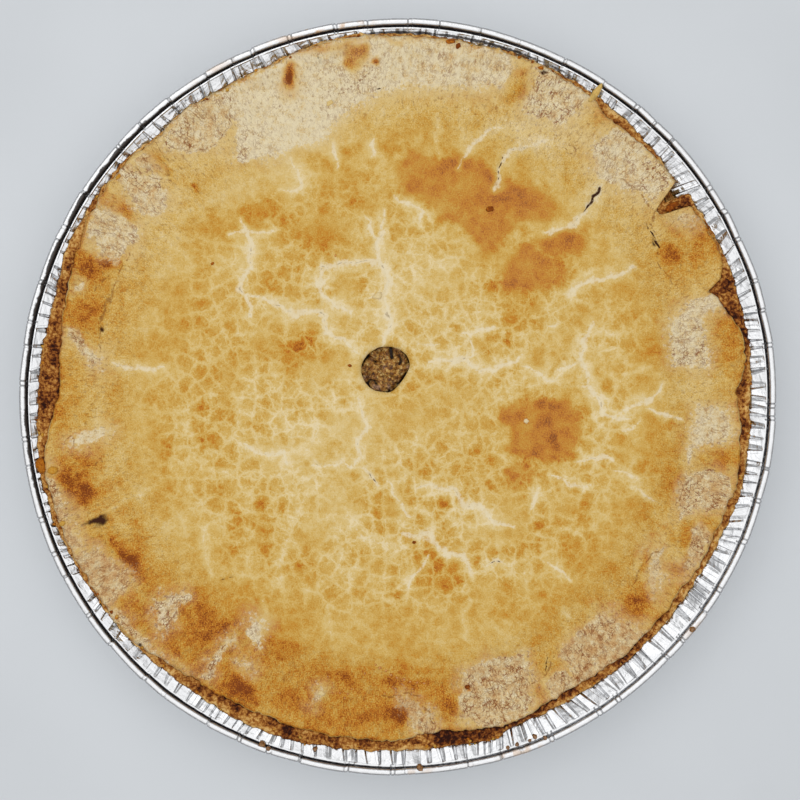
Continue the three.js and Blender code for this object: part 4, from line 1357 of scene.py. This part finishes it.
def crust_fields(x, y, lid):
    """Browning and pores of the crust's rim. It is darker under the lid's edge, which is painted shade, and
    paler at its own.
    """
    radius, turn = polar(x, y)
    pore = 1 - smoothstep(cell_walls(x, y, 1.5, 61), 0.03, 0.36)
    pore = pore * smoothstep(noise(x, y, 2.2, 66), -0.4, 0.4)
    shade = 1 - smoothstep(radius - lid, -1.0, 1.0)
    lip = smoothstep(radius - crust_edge(turn), -2.6, -0.6)
    # burnt stretches grow darker under the lid's edge: painted shade
    burnt = swells(turn, BURNT_STRETCHES) * (0.5 + 0.6 * shade)
    bake = CRUST_BAKE + burnt + 0.2 * rough(x, y, 4, 67) + 0.08 * shade - 0.16 * lip
    return bake, pore


def crust_top(radius, angle, lid, edge):
    """Height of the crust's rim, without its fine relief. It swells up beside the lid's edge."""
    base = wall_height(radius) + GAP
    swell = CRUST_SWELL * smoothstep(radius, lid - 0.9, lid + 0.2)
    top = np.maximum(edge_height(angle) + swell, base + CRUST_THINNEST)
    return lerp(base, top, rounded((edge - radius) / CRUST_ROUNDING))


def crust_rows(angle, lid, edge):
    """Rings of the crust's rim, from inside its shelf over its top and down outside: (radius, height)."""
    shelf = edge_height(angle)
    rows = [(SHELF_RADIUS - SHELF_TAPER, shelf - SHELF_DEPTH), (SHELF_RADIUS - 1.0, shelf - 0.4)]
    for share in np.linspace(0, 1, CRUST_ROWS):
        radius = lerp(lid - CRUST_BAND, edge, share)
        rows.append((radius, crust_top(radius, angle, lid, edge)))
    rows.append((edge - 0.9, wall_height(edge - 0.9) + 0.1))
    rows.append((FLARE_RADIUS - WALL_CLEARANCE, FLARE_HEIGHT))
    return rows


def crust_shell():
    """Rings of the hidden shell, from the foot of its outside, under its floor and back over it."""
    coarse = ring_angles(CRUST_COARSE)
    low = CRUST_FLOOR + CRUST_CORNER / 2
    high = FILLING_FLOOR + CRUST_CORNER
    clearance = WALL_CLEARANCE + BOTTOM_CRUST
    upper_floor = CRUST_FLOOR + BOTTOM_CRUST
    return [
        around(coarse, wall_radius(low) - WALL_CLEARANCE, low),
        around(coarse, wall_radius(CRUST_FLOOR) - WALL_CLEARANCE - CRUST_CORNER / 2, CRUST_FLOOR),
        around(coarse[:1], 0, CRUST_FLOOR),
        around(coarse[:1], 0, upper_floor),
        around(coarse, wall_radius(FILLING_FLOOR) - clearance - CRUST_CORNER, upper_floor),
        around(coarse, wall_radius(high) - clearance, high),
    ]


def crust_piece(material):
    angle = ring_angles(CRUST_COLUMNS)
    edge = crust_edge(angle)
    lid = np.minimum(lid_edge(angle), edge)
    rim = [around(angle, radius, height) for radius, height in crust_rows(angle, lid, edge)]
    points = np.concatenate(rim)
    x, y = points[:, 0], points[:, 1]
    bake, pore = crust_fields(x, y, np.tile(lid, len(rim)))
    fine = np.zeros(len(points))
    plain = CRUST_PLAIN_ROWS * CRUST_COLUMNS
    fine[plain:-plain] = 1
    points[:, 2] += fine * (0.45 * rough(x, y, 2.0, 62) - 0.35 * pore)
    rings = np.split(points, len(rim)) + crust_shell()
    fields = {"bake": bake, "pore": pore}
    hidden = {"bake": CRUST_BAKE}
    piece = ring_piece("bottom_pastry", rings, material, fields, hidden, closed=True)
    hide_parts("bottom_crust")


# The filling
# Dark gaps in the meat, drawn as painted shade: (half-width, pixels)
MEAT_SLITS = (
    (2.0, ((391, 345), (391, 351), (392, 357))),
    (1.2, ((369, 387), (367, 383), (370, 380), (375, 381), (377, 384))),
    (1.6, ((361, 366), (363, 361), (368, 356))),
    (1.6, ((398, 383), (403, 379), (406, 374))),
    (1.0, ((398, 356), (401, 360), (399, 364))),
)
MEAT_SEEN = (7.8, 9)  # the meat's relief fades out between these radii round the vent
MEAT_SINK = 0.8  # how far the meat lies below the flat top outside them
FILLING_COLUMNS = 120


def meat_fields(x, y):
    """Painted shade in the meat's gaps and round the vent's wall, pink crumbs of the meat that shows at the
    vent, and its relief.
    """
    u, v = to_pixels(x, y, FILLING_TOP)
    u = u + 1.2 * noise(x, y, 1.2, 76)
    v = v + 1.2 * noise(x, y, 1.2, 77)
    lumps = rough(x, y, 1.9, 73)
    out, turn = polar(x - VENT[0], y - VENT[1])
    # painted shade in the low parts between lumps and in a ring under the vent's wall
    gap_shade = 1 - smoothstep(lumps + 1.4 * smoothstep(vent_radius(turn) - out, -0.3, 0.6), 0.0, 0.5)
    for half_width, points in MEAT_SLITS:
        distance, _ = line_distance(u, v, points)
        gap_shade = np.maximum(gap_shade, 1 - smoothstep(distance, 0.4 * half_width, 1.4 * half_width))
    pink = smoothstep(noise(x, y, 1.6, 78), 0.35, 0.7) * (1 - gap_shade)
    relief = 0.7 * lumps + 0.25 * rough(x, y, 0.7, 79) - 0.9 * gap_shade - 0.5
    return gap_shade, pink, relief


def filling_rest():
    """Rings of the hidden filling, from its flat top down its side to the middle of its floor."""
    coarse = ring_angles(FILLING_COLUMNS)
    shelf_inside = SHELF_RADIUS - SHELF_TAPER - GAP
    clearance = WALL_CLEARANCE + BOTTOM_CRUST + GAP
    corner = FILLING_FLOOR + CRUST_CORNER
    return [
        around(coarse, FILLING_FLAT_RADIUS, FILLING_TOP),
        around(coarse, shelf_inside + 0.7, lid_underside(shelf_inside + 0.7, coarse) - GAP),
        around(coarse, shelf_inside, edge_height(coarse) - SHELF_DEPTH),
        around(coarse, wall_radius(corner) - clearance, corner),
        around(coarse, wall_radius(FILLING_FLOOR) - clearance - CRUST_CORNER, FILLING_FLOOR),
        around(coarse[:1], 0, FILLING_FLOOR),
    ]


def filling_piece(material):
    radii = np.arange(0, MEAT_RADIUS + MEAT_STEP / 2, MEAT_STEP)
    counts = np.maximum(1, np.round(2 * np.pi * radii / MEAT_STEP)).astype(int).tolist()
    angle = np.concatenate([ring_angles(count) for count in counts])
    ring = np.repeat(radii, counts)
    fine = around(angle, ring, FILLING_TOP, VENT)
    gap_shade, pink, relief = meat_fields(fine[:, 0], fine[:, 1])
    seen = 1 - smoothstep(ring, *MEAT_SEEN)
    fine[:, 2] += relief * seen - MEAT_SINK * (1 - seen)
    rings = np.split(fine, np.cumsum(counts)[:-1]) + filling_rest()
    piece = ring_piece("ground_meat", rings, material, {"gap_shade": gap_shade, "pink": pink}, {})
    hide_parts("meat_filling")


# The foil plate
PLEAT_COUNT = 200
CRIMP_COUNT = 62
PLATE_SEED = 5
WRINKLE_SEED = 81
# Lowest and highest shares that shape a pleat, in the order in which they are drawn
PLEAT_RANGES = (
    (0.3, 0.6),  # flat
    (0.16, 0.3),  # slope
    (0.03, 0.1),  # valley
    (-0.1, 0.15),  # level
    (0.35, 0.75),  # depth
    (-0.6, 0.6),  # tilt
    (0.35, 0.8),  # taper
    (0.2, 0.45),  # fold
)
WALL_NORMAL = (-0.92, 0.4)  # in along the radius and up
FLANGE_NORMAL = (-0.36, 0.93)
WALL_HEIGHTS = (1.1, 4, 8, 12, 16, 20, 24)
FLANGE_UNDER = 0.55  # how far the flange's underside lies below its top
FLANGE_OUT = 0.25  # and how far out it is shifted
SECOND_RADIUS = 118.5  # of a second dark line inside the ridge, painted shadow under the crust's overhang
BEAD_SQUARENESS = 0.8  # 1 for a round rolled edge, less for one with a flattened top
BEAD_TURNS = np.arange(180, -106, -15)  # directions round the rolled edge, from its inside over its top
SHADE_FADE = 35  # over how many degrees of the rolled edge the dark line fades
SHADE_TURN = 128  # where it ends
WIDE_TURN = 80  # where it ends if it reaches on to the rolled edge
# The rim between the flange and the rolled edge: (radius past the lip, height past the lip, painted shade
# and grease)
GROOVE = ((0.3, 0.25, 0.0), (0.7, 0.25, 0.1), (0.85, 0.0, 0.9), (1.05, -0.6, 1.0), (1.3, -0.8, 1.0))
# What changes round the rim: (angle, amount, half-width)
RIDGE = ((130, 1.0, 75), (30, 0.5, 30))  # where the rim has a ridge inside the groove
UNSHADED_GROOVE = ((312, 0.75, 42),)  # where the groove has little painted shade and grease
SECOND_LINE = ((80, 1.0, 24), (128, 0.6, 6), (48, 0.3, 8))  # where the second dark line, painted shadow under the crust's overhang, runs
# how much painted shade and grease the groove has round the rim
GROOVE_SHADE_AND_GREASE = ((150, 0.3, 40), (205, 0.3, 25), (60, 0.25, 30), (310, -0.2, 45))
GOLDEN_STAINS = ((102, 0.8, 6), (120, 0.3, 3), (273, 0.4, 2), (290, 0.4, 6), (322, 0.3, 2))
WIDE_GROOVE = ((152, 1.0, 24), (188, 0.5, 12))  # where the dark line, painted shade and dark reflection, reaches on to the rolled edge
RIM_BULGE = ((222, 1.4, 38),)  # where the rim is bent outwards


def pleat_knots(rng):
    """Fold lines of the flange: angles at its inner and outer edge, and how far each lies up or down."""
    widths = rng.uniform(0.55, 1.45, PLEAT_COUNT)
    starts = np.concatenate([[0], np.cumsum(widths)[:-1]]) / widths.sum() * 360
    widths = widths / widths.sum() * 360
    inner, outer, rise = [], [], []
    for start, width in zip(starts, widths):
        flat, slope, valley, level, depth, tilt, taper, fold = (rng.uniform(*ends) for ends in PLEAT_RANGES)
        fold = fold * flat
        marks = np.array([0, fold, fold + 0.1 * flat, flat, flat + slope, flat + slope + valley])
        inner += list(start + width * marks + 1.5 * ripple(start + width * marks))
        outer += list(start + width * (1 - taper * (1 - marks)) * (marks > 0))
        rise += [level, level + 0.6 * tilt, level + 0.35 * tilt, level + tilt, level - depth, level - depth]
    return np.array(inner), np.array(outer), np.array(rise)


def crimp_knots(rng):
    """Thin creases across the rolled edge, in pairs: angles, how far each is pinched and shifted out."""
    places = ring_angles(CRIMP_COUNT) + rng.uniform(-2.4, 2.4, CRIMP_COUNT)
    apart = rng.uniform(0.25, 0.8, CRIMP_COUNT)
    creases = np.sort(np.concatenate([places, places + apart]) % 360)
    angles = (creases[:, None] + np.array([-0.15, 0, 0.15])).ravel()
    pinches = (rng.uniform(0.06, 0.36, len(creases))[:, None] * np.array([0, 1, 0])).ravel()
    kinks = np.repeat(rng.uniform(-0.3, 0.15, len(creases)), 3)
    order = np.argsort(angles)
    return angles[order], pinches[order], kinks[order]


def plate_columns():
    """Angles of the plate's columns at the flange's inner and outer edge, their rise, pinch and kink."""
    rng = np.random.default_rng(PLATE_SEED)
    inner, outer, rise = pleat_knots(rng)
    crimps, pinches, kinks = crimp_knots(rng)
    columns = np.sort(np.concatenate([outer, crimps % 360]))
    columns = columns[np.append(True, np.diff(columns) > 0.02)]
    return {
        "inner": columns + np.interp(columns, outer, inner - outer, period=360),
        "outer": columns,
        "rise": np.interp(columns, outer, rise, period=360),
        "pinch": np.interp(columns, crimps, pinches, period=360),
        "kink": np.interp(columns, crimps, kinks, period=360),
    }


def plate_row(radius, height, normal, **more):
    """One ring of the plate.

    pleat, pinch, kink and ridge are shares of those forms, and out is the share of the way over the flange.
    grease, second and wide are shares of the dark lines of painted shade, partly grease, and open is how
    free of them the groove can be.
    """
    row = dict(radius=radius, height=height, normal=normal, pleat=0, out=1, pinch=0, kink=0, ridge=0)
    return {**row, "grease": 0, "second": 0, "open": 0, "wide": 0, **more}


def wall_rows(heights, outwards):
    """Rings of the plate's wall, shifted outwards."""
    rows = []
    for height in heights:
        pleat = 0.75 * smoothstep(height, 1, 16)
        rows.append(plate_row(wall_radius(height) + outwards, height, WALL_NORMAL, pleat=pleat, out=0))
    return rows


def flange_rows():
    rows = []
    for share in np.linspace(0, 1, 10):
        radius = lerp(FLARE_RADIUS, LIP_RADIUS, share)
        forms = dict(pleat=1 - 0.45 * smoothstep(share, 0.8, 1), second=bump(radius - SECOND_RADIUS, 0.55))
        rows.append(plate_row(radius, wall_height(radius), FLANGE_NORMAL, out=share, **forms))
    return rows


def groove_rows():
    rows = []
    for out, rise, grease in GROOVE:
        forms = dict(pleat=0.2, pinch=0.6, kink=out / GROOVE[-1][0], ridge=max(rise, 0), grease=grease)
        height = LIP_HEIGHT + min(rise, 0)
        rows.append(plate_row(LIP_RADIUS + out, height, FLANGE_NORMAL, open=out > 1, **forms))
    return rows


def bead_rows():
    """Rings of the rolled edge."""
    rows = []
    for turn in BEAD_TURNS:
        normal = on_circle(1, turn)
        across, up = (BEAD_RADIUS * np.sign(part) * np.abs(part) ** BEAD_SQUARENESS for part in normal)
        place = (PLATE_RADIUS - BEAD_RADIUS + across, PLATE_HEIGHT - BEAD_RADIUS + up)
        # painted shade on the rolled edge's inner side, the side that faces the pie
        grease = np.clip((turn - SHADE_TURN) / SHADE_FADE, 0, 1)
        wide = np.clip((turn - WIDE_TURN) / SHADE_FADE, 0, 1)
        rows.append(plate_row(*place, normal, pinch=1, kink=1, grease=grease, wide=wide))
    return rows


def flange_under_rows():
    rows = []
    for share in np.linspace(1, 0, 6):
        radius = lerp(FLARE_RADIUS, LIP_RADIUS, share) + FLANGE_OUT
        height = wall_height(radius) - FLANGE_UNDER
        rows.append(plate_row(radius, height, FLANGE_NORMAL, pleat=1 - 0.75 * share, out=share))
    return rows


def plate_rows():
    """The plate's rings from the foot of its inside over the rim to the foot of its outside."""
    inside_rows = wall_rows(WALL_HEIGHTS, 0) + flange_rows() + groove_rows()
    return inside_rows + bead_rows() + flange_under_rows() + wall_rows(WALL_HEIGHTS[::-1], FOIL)


def plate_ring(row, columns, seed):
    """Points of one ring of the plate, and how dark each of them is with painted shade and grease."""
    angle = lerp(columns["inner"], columns["outer"], row["out"])
    x, y = on_circle(LIP_RADIUS, angle)
    push = row["pleat"] * (columns["rise"] + 0.08 * noise(x, y, 1.6, seed)) - row["pinch"] * columns["pinch"]
    ridge = row["ridge"] * np.clip(swells(angle, RIDGE), 0, 1)
    radius = row["radius"] + row["kink"] * columns["kink"] + push * row["normal"][0]
    radius = radius + swells(angle, RIM_BULGE) * smoothstep(row["radius"], FLARE_RADIUS, LIP_RADIUS)
    height = row["height"] + ridge + push * row["normal"][1]
    unshaded = row["open"] * np.clip(swells(angle, UNSHADED_GROOVE), 0, 1)
    # painted shade and dark reflection in the groove and on the rolled edge's inner side, partly grease
    grease = row["grease"] * (0.75 + swells(angle, GROOVE_SHADE_AND_GREASE)) * (1 - unshaded)
    # painted shadow of the crust's overhang on the flange
    grease = grease + row["second"] * swells(angle, SECOND_LINE) * (0.9 + 0.4 * noise(x, y, 4, 84))
    # painted shade and dark reflection spreading on to the rolled edge
    grease = grease + row["wide"] * swells(angle, WIDE_GROOVE) * (0.8 + 0.7 * noise(x, y, 3, 85))
    return around(angle, radius, height), np.clip(grease, 0, 1)


def golden_stain(x, y):
    """How much golden stain there is on the rolled edge."""
    radius, turn = polar(x, y)
    patchy = smoothstep(noise(x, y, 2, 83), 0.0, 0.4)
    on_edge = smoothstep(radius, LIP_RADIUS + 1, LIP_RADIUS + 2)
    return np.clip(swells(turn, GOLDEN_STAINS), 0, 1) * on_edge * patchy


def plate_piece(material):
    columns = plate_columns()
    made = [plate_ring(row, columns, WRINKLE_SEED + index) for index, row in enumerate(plate_rows())]
    inner = columns["inner"]
    flat = BASE_RADIUS - 0.6
    middle = np.zeros(1)
    rings = [around(middle, 0, FOIL), around(inner, flat, FOIL)]
    rings += [ring for ring, _ in made]
    rings += [around(inner, flat, 0), around(middle, 0, 0)]
    points = np.concatenate(rings)
    unshaded = np.zeros(len(inner) + 1)
    grease = np.concatenate([unshaded, *(dark for _, dark in made), unshaded])
    fields = {"grease": grease, "stain": golden_stain(points[:, 0], points[:, 1])}
    piece = ring_piece("foil_pie_plate", rings, material, fields, {}, smooth=False)
    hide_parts("foil_plate")


# Small things that lie on the pie and on the plate's rim
# Flakes and crumbs: (x, y, half-length and half-width in pixels, turn, height, browning)
FLAKES = (
    (378, 297, 5, 3.2, 15, 0.5, 0.12), (525, 421, 2.8, 2.4, 0, 0.7, 0.05),
    (595, 94, 11, 4, 57, 0.7, 0.45), (41, 466, 8, 6, 101, 1.4, 0.88), (450, 43, 5, 3, 10, 0.6, 0.92),
    (458, 48, 3, 2.5, 60, 0.5, 1.1), (671, 207, 9, 3.4, 38, 0.8, 0.98), (467, 686, 3, 2.4, 20, 0.6, 1.05),
    (489, 211, 3.6, 3, 0, 0.4, 0.98), (414, 541, 2.2, 1.6, 0, 0.4, 1.0),
    (214, 265, 2, 1.6, 40, 0.4, 0.95), (350, 366, 2.2, 1.4, 0, 0.3, 0.95),
    (330, 104, 4, 2.5, 30, 0.4, 0.3), (55, 470, 5, 4, 30, 0.8, 0.7), (64, 523, 4, 3, 0, 0.6, 0.62),
    (322, 692, 4, 3, 0, 0.5, 0.2), (540, 70, 3, 2, 0, 0.4, 0.9), (120, 178, 4, 2, 50, 0.4, 0.7),
)
CRUMBS = 110
CRUMB_SEED = 9
# Meat juice on the plate's rim: (x, y, half-width in pixels)
DROPS = (
    (262, 744, 4), (268, 750, 3), (420, 768, 3.5), (695, 632, 3.5), (315, 750, 2.5), (535, 737, 3),
    (508, 748, 2), (517, 745, 2.4), (530, 741, 1.8), (545, 738, 2),
)
# Beads of glaze: (x, y, half-width in pixels)
GLAZE = (
    (380, 666, 1.6), (386, 669, 1.3), (391, 673, 1.7), (397, 676, 1.4), (404, 678, 1.7), (410, 680, 1.3),
    (417, 681, 1.6), (424, 682, 1.4), (376, 663, 1.2), (390, 673, 1.1), (345, 697, 1.3), (348, 693, 1.1),
    (340, 692, 1.2), (385, 692, 1.1), (336, 257, 1.2), (333, 686, 1.1), (352, 688, 1.2), (365, 672, 1.1),
)
LUMP_SPOKES = 9
LUMP_UNEVEN = (0.75, 1.2)  # least and greatest share of its width that a spoke has
DROP_HEIGHT = 0.5  # as a share of the half-width
BEAD_HEIGHT = 0.8  # likewise
FLAKE_SHAPE_SEED = 91
DROP_SHAPE_SEED = 92
BEAD_SHAPE_SEED = 93
# Rings of a small thing, from its top down: (share of its width, share of its height)
FLAKE_LEVELS = ((0.6, 0.9), (1.0, 0.4), (0.95, -0.3))
DOME_LEVELS = ((0.5, 0.85), (0.85, 0.5), (1.0, -0.2))


def carrier_height(x, y):
    """Height of what is seen from above at a place: the lid, the bottom crust or the plate's rim."""
    radius, angle = polar(x, y)
    lid = lid_edge(angle)
    rim = crust_edge(angle)
    _, relief = lid_fields(x, y, lid - radius)
    on_lid = lid_height(x, y, angle, lid) + relief * np.clip(lid - radius, 0, 1)
    on_crust = crust_top(radius, angle, np.minimum(lid, rim), rim)
    from_bead = np.clip((radius - PLATE_RADIUS) / BEAD_RADIUS + 1, -1, 1)
    on_bead = PLATE_HEIGHT - BEAD_RADIUS + BEAD_RADIUS * np.sqrt(1 - from_bead**2)
    on_plate = np.where(radius < PLATE_RADIUS - 2 * BEAD_RADIUS, wall_height(radius), on_bead)
    return np.where(radius < lid, on_lid, np.where(radius < rim, on_crust, on_plate))


def lump_points(lump, uneven, levels):
    """Points of one small thing, from its top down, above what it lies on."""
    x, y, half_length, half_width, turn, height, _ = lump
    cosine, sine = on_circle(1, turn)
    spokes = ring_angles(LUMP_SPOKES)
    along, _ = on_circle(half_length * uneven, spokes)
    _, across = on_circle(half_width * uneven, spokes)
    east = along * cosine - across * sine
    north = along * sine + across * cosine
    rings = [np.array([[x, y, height]])]
    for width, rise in levels:
        lift = np.full(LUMP_SPOKES, height * rise)
        rings.append(np.stack([x + east * width, y + north * width, lift], axis=-1))
    rings.append(np.array([[x, y, height * levels[-1][1]]]))
    return np.concatenate(rings)


def lumps_piece(name, lumps, material, seed, levels):
    """One mesh of small closed lumps that lie on the pie.

    Each lump is (x, y, half-length, half-width, turn, height, browning) in millimetres.
    """
    rng = np.random.default_rng(seed)
    counts = [1] + [LUMP_SPOKES] * len(levels) + [1]
    one = np.array(stitch(counts))
    made = [lump_points(lump, rng.uniform(*LUMP_UNEVEN, LUMP_SPOKES), levels) for lump in lumps]
    faces = np.concatenate([one + index * sum(counts) for index in range(len(lumps))]).tolist()
    points = np.concatenate(made)
    points[:, 2] += carrier_height(points[:, 0], points[:, 1])
    bakes = np.repeat([lump[-1] for lump in lumps], sum(counts))
    make_piece(name, points, faces, material, {"bake": bakes})


def flake_lumps():
    """The flakes that the photograph shows, and crumbs strewn along the bottom crust's edge."""
    size = pixel_size(EDGE_PLANE)
    lumps = []
    for across, down, half_length, half_width, turn, height, bake in FLAKES:
        x, y = from_pixels(across, down, EDGE_PLANE)
        lumps.append((x, y, half_length * size, half_width * size, turn, height, bake))
    rng = np.random.default_rng(CRUMB_SEED)
    for angle in rng.uniform(0, 360, CRUMBS):
        radius = crust_edge(np.array([angle]))[0] + rng.uniform(-2.2, 0.3)
        half = rng.uniform(0.25, 0.7)
        shape = (half, half * rng.uniform(0.6, 1), rng.uniform(0, 180), half * rng.uniform(0.7, 1.3))
        lumps.append((*on_circle(radius, angle), *shape, rng.uniform(0.6, 1.05)))
    return lumps


def round_lumps(table, height_share):
    """Round drops at these places. Those on the plate's rolled edge keep to its top."""
    size = pixel_size(EDGE_PLANE)
    lumps = []
    for across, down, half_width in table:
        x, y = from_pixels(across, down, EDGE_PLANE)
        half = half_width * size
        inward = min(1, (PLATE_RADIUS - BEAD_RADIUS) / np.hypot(x, y))
        lumps.append((x * inward, y * inward, half, half, 0, half * height_share, 0))
    return lumps


def flake_material():
    graph = Graph("pastry_flakes")
    grain = graph.centred(0.6, 3, 0.7)
    colour = graph.ramp(graph.add(graph.field("bake"), graph.times(grain, 0.6)), PASTRY_STOPS)
    relief = graph.relief(graph.times(grain, 0.3))
    return graph.finish(Base_Color=colour, Roughness=0.75, Specular_IOR_Level=DRY_SHEEN, Normal=relief)


def juice_material(name, dark, light, roughness):
    """Thick browned juice or glaze."""
    graph = Graph(name)
    colour = graph.ramp(graph.noise(0.6, 3), ((0.35, dark), (0.65, light)))
    return graph.finish(Base_Color=colour, Roughness=roughness, Specular_IOR_Level=0.5, Coat_Weight=0.3)


# Floor, light and camera
FLOOR_SIZE = 4.0
FLOOR_COLOUR = srgb(205, 209, 213)
FLOOR_SHADE = srgb(202, 206, 210)
PAINTED_FLOOR_LIGHT = srgb(222, 226, 230)  # painted light round the plate, against the plate's shadow on the floor
# Grey of the sky: (height, from 0 straight below to 1 straight above, brightness)
SKY_GREYS = (
    (0.000, 0.30), (0.500, 0.25), (0.585, 0.30), (0.750, 0.42), (0.800, 0.48), (0.872, 0.72), (0.933, 1.10),
    (1.000, 1.30),
)
SKY_STRENGTH = 1.27
KEY_PLACE = (-0.45, 0.6, 0.9)
KEY_SIZE = 0.9
KEY_POWER = 1.6


def floor():
    mesh = bpy.data.meshes.new("floor")
    half = FLOOR_SIZE / 2
    corners = [(-half, -half, 0), (half, -half, 0), (half, half, 0), (-half, half, 0)]
    mesh.from_pydata(corners, [], [(0, 1, 2, 3)])
    graph = Graph("floor_paint")
    shade = graph.remap(graph.noise(60, 3), 0.3, 0.7, 0.0, 1.0)
    colour = graph.mix(shade, FLOOR_COLOUR, FLOOR_SHADE)
    # painted light on the floor round the plate
    colour = graph.mix(graph.remap(graph.from_middle(), 115, 190, 0.6, 0.0), colour, PAINTED_FLOOR_LIGHT)
    mesh.materials.append(graph.finish(Base_Color=colour, Roughness=0.9, Specular_IOR_Level=0.2))
    made = bpy.data.objects.new("floor", mesh)
    bpy.context.scene.collection.objects.link(made)


def sky():
    world = bpy.data.worlds.new("studio")
    world.use_nodes = True
    tree = world.node_tree
    place = tree.nodes.new("ShaderNodeTexCoord")
    split = tree.nodes.new("ShaderNodeSeparateXYZ")
    up = tree.nodes.new("ShaderNodeMapRange")
    up.inputs["From Min"].default_value = -1
    ramp = tree.nodes.new("ShaderNodeValToRGB")
    fill_ramp(ramp.color_ramp, [(position, (grey, grey, grey, 1)) for position, grey in SKY_GREYS])
    background = tree.nodes["Background"]
    tree.links.new(place.outputs["Generated"], split.inputs[0])
    tree.links.new(split.outputs["Z"], up.inputs["Value"])
    tree.links.new(up.outputs[0], ramp.inputs["Fac"])
    tree.links.new(ramp.outputs["Color"], background.inputs["Color"])
    background.inputs["Strength"].default_value = SKY_STRENGTH
    bpy.context.scene.world = world


def key_light():
    lamp = bpy.data.lights.new("key", "AREA")
    lamp.size = KEY_SIZE
    lamp.energy = KEY_POWER
    key = bpy.data.objects.new("key", lamp)
    key.location = KEY_PLACE
    key.rotation_euler = (-key.location).to_track_quat("-Z", "Y").to_euler()
    bpy.context.scene.collection.objects.link(key)


def camera():
    lens = bpy.data.cameras.new("camera")
    lens.sensor_width = SENSOR
    lens.lens = SENSOR * (CAMERA_HEIGHT - RIM_PLANE) / (PHOTO_PIXELS * PIXEL)
    made = bpy.data.objects.new("camera", lens)
    made.location = (CAMERA_OVER[0] * MM, CAMERA_OVER[1] * MM, CAMERA_HEIGHT * MM)
    bpy.context.scene.collection.objects.link(made)
    bpy.context.scene.camera = made


lid_piece(pastry_material())
crust_piece(crust_material())
filling_piece(meat_material())
plate_piece(foil_material())
flakes = flake_material()
lumps_piece("pastry_flakes", flake_lumps(), flakes, FLAKE_SHAPE_SEED, FLAKE_LEVELS)
juice = juice_material("meat_juice", srgb(92, 56, 20), srgb(150, 104, 48), 0.35)
drops = round_lumps(DROPS, DROP_HEIGHT)
lumps_piece("juice_drops", drops, juice, DROP_SHAPE_SEED, DOME_LEVELS)
glaze = juice_material("glaze", srgb(168, 96, 28), srgb(214, 156, 84), 0.15)
beads = round_lumps(GLAZE, BEAD_HEIGHT)
lumps_piece("glaze_beads", beads, glaze, BEAD_SHAPE_SEED, DOME_LEVELS)
floor()
sky()
key_light()
camera()
bpy.context.scene.view_settings.view_transform = "Standard"
